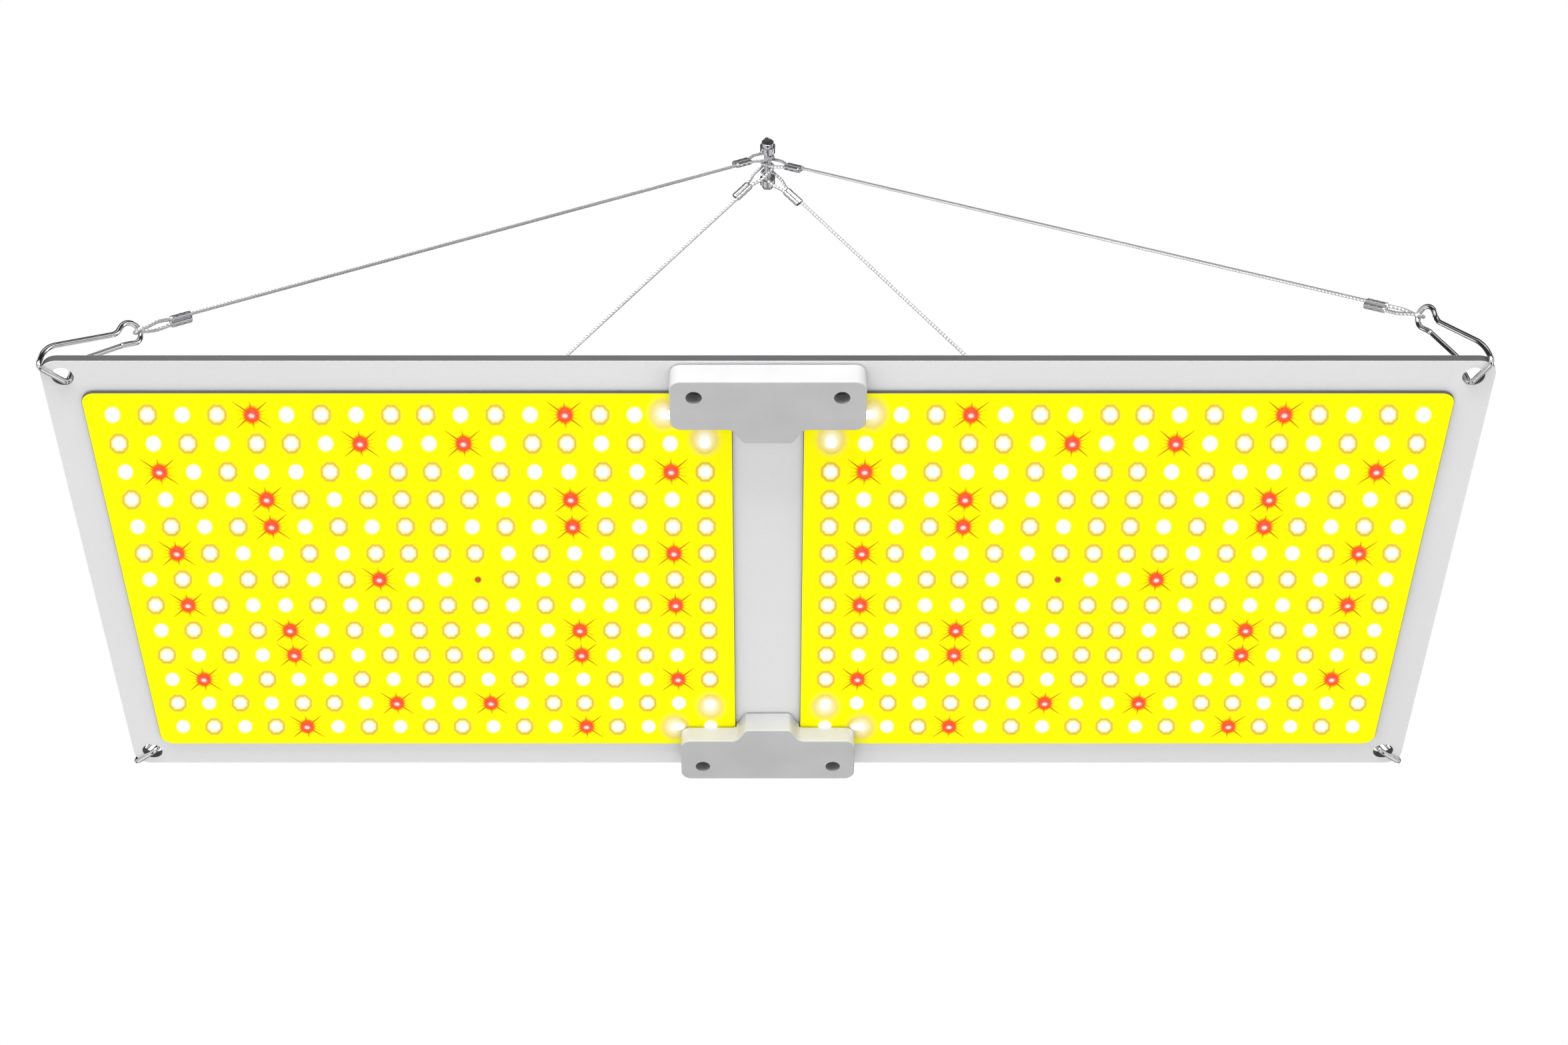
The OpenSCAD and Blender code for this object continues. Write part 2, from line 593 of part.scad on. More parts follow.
// A cable gland through a cap: its body, its hexagon against the cap and its nut
module gland(side, y, bore_r) {
    color("dimgray") in_lamp() difference() {
        union() {
            rod_x([side * (driver_x / 2 - 3), y, gland_z], side * (cap_t + 6), gland_body_r);
            translate([side * (cap_x + gland_hex_t / 2), y, gland_z]) rotate([0, 90, 0])
                cylinder(h = gland_hex_t, r = gland_hex_r, center = true, $fn = 6);
            rod_x([side * (cap_x + gland_hex_t), y, gland_z], side * gland_nut_len, gland_nut_r);
        }
        rod_x([side * (driver_x / 2 - 4), y, gland_z], side * 30, bore_r);
    }
}
module dc_gland() { gland(-1, 0, cable_r); }
module ac_gland() { gland(1, gland_y, gland_bore_d / 2); }
module dimmer_body() {
    color("dimgray") in_lamp() difference() {
        union() {
            translate([driver_x / 2 - 12, knob_y - dimmer_box / 2, gland_z - dimmer_box / 2])
                cube([11.5, dimmer_box, dimmer_box]);
            rod_x([driver_x / 2 - 1, knob_y, gland_z], cap_t + 3, dimmer_bush_r);
        }
        rod_x([driver_x / 2 - 8, knob_y, gland_z], 40, dimmer_shaft_r + 0.1);
    }
}
module dimmer_knob() {
    start = cap_x + knob_gap;
    color("black") in_lamp() translate([start, knob_y, gland_z]) difference() {
        union() {
            rod_x([driver_x / 2 - 7 - start, 0, 0], start - driver_x / 2 + 9, dimmer_shaft_r);
            rod_x([0, 0, 0], knob_len, knob_r);
        }
        for (i = [0:grips - 1]) rotate([i * 360 / grips, 0, 0])
            translate([3, knob_r - 0.5, -grip_w / 2]) cube([knob_len, 2, grip_w]);
        translate([knob_len - 0.5, -grip_w / 2, 0]) cube([2, grip_w, knob_r]);
    }
}

// Hooks, their sprung gates, and ropes
module hook(k) {
    color("lightgray") in_lamp() tube([for (p = hook_path(lean(k))) in_hook(k, p)], wire_d / 2, 10);
}
module near_left_hook() { hook(NEAR_LEFT); }
module near_right_hook() { hook(NEAR_RIGHT); }
module far_left_hook() { hook(FAR_LEFT); }
module far_right_hook() { hook(FAR_RIGHT); }
module gate(k) {
    root = gate_root(lean(k));
    d = unit(gate_end - root);
    reach = norm(gate_end - root);
    color("lightgray") in_lamp()
        tube([for (s = [gate_root_gap, reach / 2, reach]) in_hook(k, root + s * d)], gate_r, 10);
}
module near_left_gate() { gate(NEAR_LEFT); }
module near_right_gate() { gate(NEAR_RIGHT); }
module far_left_gate() { gate(FAR_LEFT); }
module far_right_gate() { gate(FAR_RIGHT); }
module rope(k) { color("darkgray") in_lamp() tube(rope_path(k), rope_d / 2, 8); }
module near_left_rope() { rope(NEAR_LEFT); }
module near_right_rope() { rope(NEAR_RIGHT); }
module far_left_rope() { rope(FAR_LEFT); }
module far_right_rope() { rope(FAR_RIGHT); }
// A two-barrel ferrule whose axis is d, with its barrels side by side along side
module ferrule(at, d, side) {
    up = cross(d, side);
    barrel = rope_d / 2 + ferrule_wall;
    multmatrix([for (i = [0:2]) [side[i], up[i], d[i], at[i]]])
        difference() {
            union() {
                for (s = [-1, 1]) translate([s * strand, 0, 0]) cylinder(h = ferrule_len, r = barrel);
                translate([-strand, -barrel * 0.8, 0]) cube([2 * strand, barrel * 1.6, ferrule_len]);
            }
            for (s = [-1, 1]) translate([s * strand, 0, 0]) drill(ferrule_len, rope_d / 2);
        }
}
module lower_ferrules() {
    color("lightgray") in_lamp() for (k = [NEAR_LEFT, NEAR_RIGHT, FAR_LEFT, FAR_RIGHT])
        ferrule(eye_wire(k) + lower_run * rope_dir(k), rope_dir(k), ferrule_side(k));
}
module upper_ferrules() {
    color("lightgray") in_lamp() for (k = [NEAR_LEFT, NEAR_RIGHT, FAR_LEFT, FAR_RIGHT])
        ferrule(pin_at(k) - upper_run * rope_dir(k), -rope_dir(k), upper_side(k));
}

shackle_bow();
shackle_pin();
heatsink_plate();
left_led_board();
right_led_board();
left_thermal_pad();
right_thermal_pad();
left_cool_leds();
right_cool_leds();
left_warm_leds();
right_warm_leds();
left_red_leds();
right_red_leds();
board_diodes();
near_cover();
far_cover();
cover_screws();
board_connectors();
near_jumper_wires();
far_board_wires();
cable_grommet();
dc_cable();
driver_case();
driver_left_cap();
driver_right_cap();
driver_cap_screws();
driver_brackets();
bracket_screws();
driver_circuit_board();
driver_transformer();
driver_capacitors();
driver_heat_bar();
dc_gland();
ac_gland();
dimmer_body();
dimmer_knob();
near_left_hook();
near_right_hook();
far_left_hook();
far_right_hook();
near_left_gate();
near_right_gate();
far_left_gate();
far_right_gate();
near_left_rope();
near_right_rope();
far_left_rope();
far_right_rope();
lower_ferrules();
upper_ferrules();
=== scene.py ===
import math

import bmesh
import bpy
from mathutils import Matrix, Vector


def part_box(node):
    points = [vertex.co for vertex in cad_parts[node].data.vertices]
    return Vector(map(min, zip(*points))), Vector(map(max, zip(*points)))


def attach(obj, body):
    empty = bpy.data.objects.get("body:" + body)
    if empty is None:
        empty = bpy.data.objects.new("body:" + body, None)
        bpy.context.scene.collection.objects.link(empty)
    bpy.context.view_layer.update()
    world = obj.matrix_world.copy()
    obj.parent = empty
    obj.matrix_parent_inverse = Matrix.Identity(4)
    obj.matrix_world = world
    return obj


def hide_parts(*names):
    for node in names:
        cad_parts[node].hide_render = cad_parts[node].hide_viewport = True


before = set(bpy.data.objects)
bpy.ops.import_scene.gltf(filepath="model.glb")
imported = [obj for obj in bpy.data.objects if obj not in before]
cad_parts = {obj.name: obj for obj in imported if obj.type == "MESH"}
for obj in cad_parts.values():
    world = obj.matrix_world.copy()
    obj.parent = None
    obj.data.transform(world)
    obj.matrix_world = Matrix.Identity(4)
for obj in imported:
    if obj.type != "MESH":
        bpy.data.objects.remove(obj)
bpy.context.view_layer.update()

MM = 0.001

# The lamp's own height 0 is the plate's LED face
PLATE_LOW, PLATE_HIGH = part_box("heatsink_plate")
FACE_Z = PLATE_LOW.z
PLATE_X, PLATE_Y = PLATE_HIGH.x - PLATE_LOW.x, PLATE_HIGH.y - PLATE_LOW.y
PLATE_T = PLATE_HIGH.z - PLATE_LOW.z

# Corners of the plate, as signs of X and Y, with each hook's lean above its bowl and its bowl's turn from X
CORNERS = {
    "near_left": (-1, -1, 60.0, 39.0),
    "near_right": (1, -1, 80.0, 59.0),
    "far_left": (-1, 1, 60.0, 39.0),
    "far_right": (1, 1, 60.0, 39.0),
}


# ---------------------------------------------------------------- camera, lights and stage


def make_camera():
    """A camera below the lamp on its near side, looking up at the LED face."""
    lens, shift = 62.75, 0.0111
    aside, back, below = -0.0006, 0.9238, 0.902
    elevation = 45.45
    data = bpy.data.cameras.new("camera")
    data.sensor_width = 36.0
    data.lens = lens
    data.shift_x = shift
    camera = bpy.data.objects.new("camera", data)
    camera.location = (aside, -back, FACE_Z - below)
    camera.rotation_euler = (math.radians(90 + elevation), 0, 0)
    bpy.context.collection.objects.link(camera)
    bpy.context.scene.camera = camera


def area_light(name, place, target, size, power):
    data = bpy.data.lights.new(name, "AREA")
    data.shape = "RECTANGLE"
    data.size, data.size_y = size
    data.energy = power
    light = bpy.data.objects.new(name, data)
    light.location = place
    light.rotation_euler = (Vector(target) - Vector(place)).to_track_quat("-Z", "Y").to_euler()
    light.visible_camera = False
    bpy.context.collection.objects.link(light)


def stage_object(name, bm, z, material):
    """Puts a mesh of the studio, not of the lamp, at height z."""
    mesh = bpy.data.meshes.new(name)
    bm.to_mesh(mesh)
    bm.free()
    mesh.materials.append(material)
    item = bpy.data.objects.new(name, mesh)
    item.location = (0, 0, z)
    bpy.context.collection.objects.link(item)
    return item


def make_flag():
    """A black studio flag: a ring below the lamp that only reflections see, for contrast in bright metal."""
    sides, inner, outer, drop = 48, 0.55, 1.1, 1.0
    angles = [2 * math.pi * i / sides for i in range(sides)]
    bm = bmesh.new()
    rings = [
        [bm.verts.new((radius * math.cos(a), radius * math.sin(a), 0)) for a in angles]
        for radius in (inner, outer)
    ]
    for i in range(sides):
        k = (i + 1) % sides
        bm.faces.new((rings[0][i], rings[0][k], rings[1][k], rings[1][i]))
    flag = stage_object("black_flag", bm, FACE_Z - drop, plain_paint("flag_black", (0.01, 0.01, 0.01), 0.9))
    for ray in ("camera", "diffuse", "transmission", "volume_scatter", "shadow"):
        setattr(flag, "visible_" + ray, False)


def make_floor():
    """A pale floor well below the hanging lamp."""
    drop, half_side = 1.9, 6.0
    bm = bmesh.new()
    bmesh.ops.create_grid(bm, x_segments=8, y_segments=8, size=half_side)
    stage_object("floor", bm, FACE_Z - drop, plain_paint("floor_paint", (0.9, 0.9, 0.9), 0.8))


def light_bands(tree, direction, stops):
    """Bright and dark bands along one direction of the surround, from (place, grey) pairs."""
    place = tree.nodes.new("ShaderNodeMapRange")
    place.inputs["From Min"].default_value = -1.0
    tree.links.new(direction, place.inputs["Value"])
    bands = tree.nodes.new("ShaderNodeValToRGB")
    ramp_stops(bands, [(at, (grey, grey, grey)) for at, grey in stops])
    tree.links.new(place.outputs["Result"], bands.inputs["Fac"])
    return bands.outputs["Color"]


def light_for(tree, kind_of_ray, others, chosen):
    """Gives one kind of ray the chosen light, and every other ray the others' light."""
    mix = tree.nodes.new("ShaderNodeMixShader")
    tree.links.new(kind_of_ray, mix.inputs["Fac"])
    tree.links.new(others, mix.inputs[1])
    tree.links.new(chosen, mix.inputs[2])
    return mix.outputs[0]


# Reflections see bright panels with dark gaps between them, so that bright metal has contrast
BANDS_BY_HEIGHT = [
    (0.0, 0.5), (0.36, 0.5), (0.39, 0.02), (0.47, 0.02), (0.50, 1.3), (0.60, 1.3), (0.63, 0.02),
    (0.74, 0.02), (0.78, 1.1), (0.86, 1.1), (0.90, 0.05), (1.0, 0.05),
]
BANDS_BY_SIDE = [
    (0.0, 1.0), (0.12, 1.0), (0.16, 0.1), (0.30, 0.1), (0.34, 1.0), (0.44, 1.0), (0.47, 0.08),
    (0.53, 0.08), (0.56, 1.0), (0.66, 1.0), (0.70, 0.1), (0.84, 0.1), (0.88, 1.0), (1.0, 1.0),
]


def make_surround():
    """An even white surround, which reflections see as a ring of light panels."""
    world = bpy.data.worlds.new("surround")
    bpy.context.scene.world = world
    world.use_nodes = True
    tree = world.node_tree
    soft = tree.nodes["Background"]
    soft.inputs["Color"].default_value = (1, 1, 1, 1)
    soft.inputs["Strength"].default_value = 0.83
    seen = tree.nodes.new("ShaderNodeBackground")
    seen.inputs["Color"].default_value = (1, 1, 1, 1)
    coords = tree.nodes.new("ShaderNodeTexCoord")
    split = tree.nodes.new("ShaderNodeSeparateXYZ")
    tree.links.new(coords.outputs["Generated"], split.inputs[0])
    both = tree.nodes.new("ShaderNodeMix")
    both.data_type, both.blend_type = "RGBA", "MULTIPLY"
    both.inputs[0].default_value = 1.0
    tree.links.new(light_bands(tree, split.outputs["Z"], BANDS_BY_HEIGHT), both.inputs[6])
    tree.links.new(light_bands(tree, split.outputs["X"], BANDS_BY_SIDE), both.inputs[7])
    panels = tree.nodes.new("ShaderNodeBackground")
    tree.links.new(both.outputs[2], panels.inputs["Color"])
    ray = tree.nodes.new("ShaderNodeLightPath")
    glossy = light_for(tree, ray.outputs["Is Glossy Ray"], soft.outputs[0], panels.outputs[0])
    whole = light_for(tree, ray.outputs["Is Camera Ray"], glossy, seen.outputs[0])
    tree.links.new(whole, tree.nodes["World Output"].inputs["Surface"])


def make_studio():
    """A pale floor, a bright soft surround, a black flag and two soft lights."""
    bpy.context.scene.view_settings.view_transform = "Standard"
    make_floor()
    make_surround()
    make_flag()
    centre = (0, 0, FACE_Z)
    area_light("front_light", (-0.4, -2.6, FACE_Z - 0.2), centre, (2.4, 1.0), 95)
    area_light("top_light", (0.6, 0.6, FACE_Z + 2.2), centre, (1.6, 1.6), 8)


# ---------------------------------------------------------------- materials


def ramp_stops(node, stops):
    """Sets a colour ramp's stops, from (place, (r, g, b)) pairs."""
    elements = node.color_ramp.elements
    while len(elements) > 1:
        elements.remove(elements[-1])
    for i, (place, colour) in enumerate(stops):
        element = elements[0] if i == 0 else elements.new(place)
        element.position = place
        element.color = (*colour, 1)


class Nodes:
    """Short forms for building one material's nodes."""

    def __init__(self, name):
        self.material = bpy.data.materials.new(name)
        self.material.use_nodes = True
        self.tree = self.material.node_tree
        self.shader = self.tree.nodes["Principled BSDF"]
        self.place = self.add("ShaderNodeTexCoord").outputs["Object"]

    def add(self, kind, **settings):
        node = self.tree.nodes.new(kind)
        for key, value in settings.items():
            setattr(node, key, value)
        return node

    def feed(self, socket, value):
        if isinstance(value, bpy.types.NodeSocket):
            self.tree.links.new(value, socket)
        elif isinstance(value, tuple) and len(value) == 3 and socket.type == "RGBA":
            socket.default_value = (*value, 1)
        else:
            socket.default_value = value

    def maths(self, operation, a, b=0.0, c=0.0, clamp=False):
        node = self.add("ShaderNodeMath", operation=operation, use_clamp=clamp)
        for socket, value in zip(node.inputs, (a, b, c)):
            self.feed(socket, value)
        return node.outputs[0]

    def mix(self, share, a, b):
        node = self.add("ShaderNodeMix", data_type="RGBA")
        self.feed(node.inputs[0], share)
        self.feed(node.inputs[6], a)
        self.feed(node.inputs[7], b)
        return node.outputs[2]

    def noise(self, scale, detail=3.0, roughness=0.5, stretch=None):
        node = self.add("ShaderNodeTexNoise")
        node.inputs["Scale"].default_value = scale
        node.inputs["Detail"].default_value = detail
        node.inputs["Roughness"].default_value = roughness
        vector = self.place
        if stretch:
            mapping = self.add("ShaderNodeMapping")
            mapping.inputs["Scale"].default_value = stretch
            self.tree.links.new(vector, mapping.inputs["Vector"])
            vector = mapping.outputs["Vector"]
        self.tree.links.new(vector, node.inputs["Vector"])
        return node.outputs["Fac"]

    def spread(self, value, low, high, to_low, to_high):
        """value's range low..high mapped to to_low..to_high, and held there."""
        node = self.add("ShaderNodeMapRange")
        for socket, number in zip(node.inputs, (value, low, high, to_low, to_high)):
            self.feed(socket, number)
        return node.outputs["Result"]

    def ramp(self, share, stops):
        node = self.add("ShaderNodeValToRGB")
        ramp_stops(node, stops)
        self.feed(node.inputs["Fac"], share)
        return node.outputs["Color"]

    def bump(self, height, strength, distance):
        node = self.add("ShaderNodeBump")
        node.inputs["Strength"].default_value = strength
        node.inputs["Distance"].default_value = distance
        self.feed(node.inputs["Height"], height)
        self.feed(self.shader.inputs["Normal"], node.outputs["Normal"])

    def attribute(self, name):
        return self.add("ShaderNodeAttribute", attribute_name=name).outputs["Fac"]

    def set(self, **values):
        """Sets the shader's own inputs, such as Metallic=1.0 or Base_Color=(r, g, b)."""
        for key, value in values.items():
            self.feed(self.shader.inputs[key.replace("_", " ")], value)
        return self.material


def plain_paint(name, colour, rough):
    """Paint with a faint mottle."""
    n = Nodes(name)
    mottle = n.noise(6.0)
    shade = tuple(c * 0.97 for c in colour)
    roughness = n.spread(mottle, 0.3, 0.7, rough - 0.05, rough)
    return n.set(Base_Color=n.mix(mottle, shade, colour), Roughness=roughness)


def moulding(name, colour, rough, texture=2600.0, bump=0.12):
    """Moulded plastic or powder coat: an even colour, a fine spark-eroded texture and faint flow marks."""
    n = Nodes(name)
    flow = n.noise(38.0, 4.0)
    grain = n.noise(texture, 2.0)
    shade = tuple(c * 0.92 for c in colour)
    n.bump(grain, bump, 0.0001)
    return n.set(
        Base_Color=n.mix(n.spread(flow, 0.35, 0.65, 0.0, 1.0), shade, colour),
        Roughness=n.spread(grain, 0.3, 0.7, rough - 0.06, rough + 0.06),
    )


def metal(name, colour, rough, stretch=(1, 1, 1), grain=900.0, bump=0.08, metallic=1.0):
    """Metal with brushed or blasted grain; stretch lays the grain along an axis."""
    n = Nodes(name)
    brushed = n.noise(grain, 3.0, 0.6, stretch)
    cloud = n.noise(14.0, 3.0)
    shade = tuple(c * 0.86 for c in colour)
    n.bump(brushed, bump, 0.0001)
    return n.set(
        Base_Color=n.mix(n.spread(cloud, 0.35, 0.65, 0.0, 1.0), shade, colour),
        Metallic=metallic,
        Roughness=n.spread(brushed, 0.3, 0.7, max(rough - 0.08, 0.02), rough + 0.08),
    )


def plated(name, colour, rough):
    """Bright plate over steel wire, with soft cloudiness and small pits."""
    n = Nodes(name)
    cloud = n.noise(160.0, 4.0)
    pits = n.noise(1500.0, 2.0, 0.7)
    n.bump(pits, 0.06, 0.0001)
    return n.set(
        Base_Color=n.mix(cloud, tuple(c * 0.8 for c in colour), colour),
        Metallic=1.0,
        Roughness=n.spread(cloud, 0.3, 0.7, rough, rough + 0.12),
    )


# ---------------------------------------------------------------- mesh helpers


def new_piece(name, bm, body, slot, materials, replaces):
    """Makes an object of a bmesh, rides it on its body and hides the CAD nodes that it replaces."""
    bmesh.ops.recalc_face_normals(bm, faces=bm.faces)
    mesh = bpy.data.meshes.new(name)
    bm.to_mesh(mesh)
    bm.free()
    piece = bpy.data.objects.new(name, mesh)
    bpy.context.collection.objects.link(piece)
    for material in materials:
        mesh.materials.append(material)
    mesh.shade_smooth()
    mesh.set_sharp_from_angle(angle=math.radians(38))
    weighted = piece.modifiers.new("weighted", "WEIGHTED_NORMAL")
    weighted.keep_sharp = True
    weighted.weight = 100
    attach(piece, body)
    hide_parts(*replaces)
    return piece


def softened(node, body, slot, materials, width, segments=3, angle=35, wide=None):
    """A copy of a CAD node with its sharp edges rounded, which replaces the node.

    wide is (width, segments, test) for edges that get a larger rounding first.
    """
    bm = bmesh.new()
    bm.from_mesh(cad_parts[node].data)
    bmesh.ops.remove_doubles(bm, verts=bm.verts, dist=2e-6)
    bmesh.ops.dissolve_limit(bm, angle_limit=math.radians(1.0), verts=bm.verts, edges=bm.edges)
    rounds = [wide] if wide else []
    rounds.append((width, segments, lambda edge: True))
    for offset, steps, test in rounds:
        sharp = [
            e for e in bm.edges
            if len(e.link_faces) == 2 and e.calc_face_angle(0) > math.radians(angle) and test(e)
        ]
        bmesh.ops.bevel(
            bm, geom=sharp, offset=offset, segments=steps, profile=0.5, affect="EDGES", clamp_overlap=True
        )
    return new_piece(node + "_shell", bm, body, slot, materials, [node])


def square_to(direction):
    """A unit vector square to direction."""
    start = Vector((0, 0, 1)) if abs(direction.z) < 0.8 else Vector((1, 0, 0))
    return (start - start.dot(direction) * direction).normalized()


def join_rings(bm, rings):
    """Faces between rings of equal counts, and over the first and last ring."""
    count = len(rings[0])
    for low, high in zip(rings, rings[1:]):
        for j in range(count):
            k = (j + 1) % count
            bm.faces.new((low[j], low[k], high[k], high[j]))
    bm.faces.new(list(reversed(rings[0])))
    bm.faces.new(rings[-1])


def frames_along(path):
    """(point, normal, side) at each point of a path, with as little turning as the path allows."""
    last = len(path) - 1
    frames = []
    normal = None
    for i, point in enumerate(path):
        ahead = (path[min(i + 1, last)] - path[max(i - 1, 0)]).normalized()
        if normal is None:
            normal = square_to(ahead)
        normal = (normal - normal.dot(ahead) * ahead).normalized()
        frames.append((point, normal, ahead.cross(normal)))
    return frames


def rings_along(path, section):
    """A closed mesh swept along path. section(i) gives ring i's points as (normal, side) offsets."""
    bm = bmesh.new()
    join_rings(bm, [
        [bm.verts.new(point + x * normal + y * side) for x, y in section(i)]
        for i, (point, normal, side) in enumerate(frames_along(path))
    ])
    return bm


def path_length(path):
    return sum((b - a).length for a, b in zip(path, path[1:]))


def places_on(path, distances):
    """Points of a path at rising distances from its start."""
    out, travelled, span = [], 0.0, 0
    for distance in distances:
        while span < len(path) - 2 and travelled + (path[span + 1] - path[span]).length < distance:
            travelled += (path[span + 1] - path[span]).length
            span += 1
        length = max((path[span + 1] - path[span]).length, 1e-12)
        out.append(path[span].lerp(path[span + 1], min(max((distance - travelled) / length, 0.0), 1.0)))
    return out


def round_tube(path, radius, sides):
    """A round tube whose ends are domes within the path's length."""
    step = 0.6 * MM
    length = path_length(path)
    straight = length - 2 * radius
    count = max(4, round(straight / step))
    dome = [0.02, 0.1, 0.28, 0.55]
    distances = [radius * d for d in dome]
    distances += [radius + straight * i / count for i in range(count + 1)]
    distances += [length - radius * d for d in reversed(dome)]
    angles = [2 * math.pi * j / sides for j in range(sides)]

    def section(i):
        left = 1 - min(1.0, min(distances[i], length - distances[i]) / radius)
        r = radius * math.sqrt(1 - left * left)
        return [(r * math.cos(a), r * math.sin(a)) for a in angles]

    return rings_along(places_on(path, distances), section)


def curve_through(points, per_span=6):
    """A smooth path through points (Catmull-Rom)."""
    pts = [Vector(p) for p in points]
    pts = [2 * pts[0] - pts[1]] + pts + [2 * pts[-1] - pts[-2]]
    path = []
    for a, b, c, d in zip(pts, pts[1:], pts[2:], pts[3:]):
        slope, curve, twist = c - a, 2 * a - 5 * b + 4 * c - d, 3 * b - a - 3 * c + d
        for k in range(per_span):
            t = k / per_span
            path.append(0.5 * (2 * b + slope * t + curve * t * t + twist * t**3))
    path.append(pts[-2])
    return path


def add_lathe(bm, origin, axis, profile, sides):
    """Adds a solid of revolution; profile is (along, radius) from its base to a point. Returns its rings."""
    origin, axis = Vector(origin), Vector(axis).normalized()
    side = square_to(axis)
    up = axis.cross(side)
    angles = [2 * math.pi * j / sides for j in range(sides)]
    rings = []
    for along, r in profile:
        centre = origin + axis * along
        around = [side * r * math.cos(a) + up * r * math.sin(a) for a in angles] if r > 0 else [Vector()]
        rings.append([bm.verts.new(centre + offset) for offset in around])
    for low, high in zip(rings, rings[1:]):
        for j in range(sides):
            k = (j + 1) % sides
            corners = [low[j % len(low)], low[k % len(low)], high[k % len(high)], high[j % len(high)]]
            bm.faces.new(list(dict.fromkeys(corners)))
    bm.faces.new(list(reversed(rings[0])))
    return rings


# ---------------------------------------------------------------- hooks and ropes, as in part.scad

HOLE_X, HOLE_Y = PLATE_X / 2 - 9.5 * MM, PLATE_Y / 2 - 9 * MM
HOLE_R = 5 * MM
HOOK_TILT = 16
WIRE_D = 2.5 * MM
HOOK_LEN = 43 * MM
EYE_R = 5 * MM
NECK_R = 7 * MM
EYE_GAP = 25
NECK_TURN = 45
NECK_REACH = 2.5 * MM
GATE_END = Vector((0.6 * MM, PLATE_T + 3.2 * MM))
HOLE_GAP = 0.35 * MM
BOWL_OUTER = -11.8 * MM
BOWL_RISE, TIP_RISE = 5.2 * MM, 1.5 * MM
TIP_BEND, BOWL_BEND, SPINE_BEND = 2.8 * MM, 3.2 * MM, 5.5 * MM
ROPE_D = 1.8 * MM
PIN_R = 2 * MM
PIN_Z = -13 * MM
LOOP_GAP = 0.3 * MM
LOOP_PITCH = 4.2 * MM
FERRULE_LEN = 11 * MM
FERRULE_WALL = 0.6 * MM
LOWER_RUN, UPPER_RUN = 17 * MM, 15 * MM
STRAND = ROPE_D / 2 + 0.4 * MM


def hook_axes(corner):
    """The directions in a corner's hook plane: outward along the bowl, and up."""
    sx, sy, _, turn = CORNERS[corner]
    turn, tilt = math.radians(turn), math.radians(HOOK_TILT)
    lean_x, lean_y = -math.sin(tilt) * math.sin(turn), math.sin(tilt) * math.cos(turn)
    outward = Vector((sx * math.cos(turn), sy * math.sin(turn), 0))
    return outward, Vector((sx * lean_x, sy * lean_y, math.cos(tilt)))


def in_hook(corner, point):
    """A point of a corner's hook plane: x runs inward from the hole, and y up."""
    sx, sy = CORNERS[corner][:2]
    outward, up = hook_axes(corner)
    return Vector((sx * HOLE_X, sy * HOLE_Y, FACE_Z)) - point[0] * outward + point[1] * up


def polar(angle, radius):
    return Vector((radius * math.cos(math.radians(angle)), radius * math.sin(math.radians(angle))))


def on_eye(lean, angle, radius=EYE_R):
    """A point of the hook's plane at a radius from the eye's centre; angle 0 is away from the bowl."""
    return polar(lean, HOOK_LEN) + polar(lean + angle, radius)


def bend(a, b, c, reach, steps):
    """The corner at b, between a and c, rounded from reach before it to reach after it."""
    p, q = b + reach * (a - b).normalized(), b + reach * (c - b).normalized()
    shares = [i / steps for i in range(steps + 1)]
    return [(1 - k) ** 2 * p + 2 * k * (1 - k) * b + k * k * q for k in shares]


def hook_path(corner):
    """A hook's wire, from its tip through the hole, up its back and round its eye to the gate's root."""
    lean = CORNERS[corner][2]
    tip_along = HOLE_R - WIRE_D / 2 - HOLE_GAP
    under = -WIRE_D / 2 - HOLE_GAP
    tip = Vector((tip_along, PLATE_T + TIP_RISE))
    low_in, low_out = Vector((tip_along, under)), Vector((BOWL_OUTER, under))
    top_out = Vector((BOWL_OUTER, PLATE_T + BOWL_RISE))
    spine_neck = on_eye(lean, 180 - EYE_GAP, NECK_R)
    gate_neck = on_eye(lean, 180 + EYE_GAP, NECK_R)
    start, steps = 180 - EYE_GAP - NECK_TURN, 24
    eye = [on_eye(lean, start - i * 2 * start / steps) for i in range(steps + 1)]
    flat = [tip]
    flat += bend(tip, low_in, low_out, TIP_BEND, 10)
    flat += bend(low_in, low_out, top_out, BOWL_BEND, 10)
    flat += bend(low_out, top_out, spine_neck, SPINE_BEND, 12)
    flat += bend(top_out, spine_neck, eye[0], NECK_REACH, 10)
    flat += eye + bend(eye[-1], gate_neck, GATE_END, NECK_REACH, 10)
    return [in_hook(corner, p) for p in flat]


def rope_ends(corner):
    """(eye wire, pin point, direction, side at the eye, side at the pin) of a corner's rope."""
    sx, sy, lean, _ = CORNERS[corner]
    outward, up = hook_axes(corner)
    pin = Vector((0, sy * (1 + sx * sy / 2) * LOOP_PITCH, PIN_Z))
    pull = Vector((0, 0, PIN_Z)) - in_hook(corner, on_eye(lean, 0, 0.0))
    pull_angle = math.degrees(math.atan2(pull.dot(up), -pull.dot(outward)))
    wire = in_hook(corner, on_eye(lean, pull_angle - lean))
    along = (pin - wire).normalized()
    level = up.cross(outward)
    low_side = (level - level.dot(along) * along).normalized()
    up_side = Vector((0, 1, 0)).cross(along).normalized()
    return wire, pin, along, low_side, up_side


def turned(side, axis, angle):
    """side, square to axis, turned about it by angle in degrees."""
    return side * math.cos(math.radians(angle)) + axis.cross(side) * math.sin(math.radians(angle))


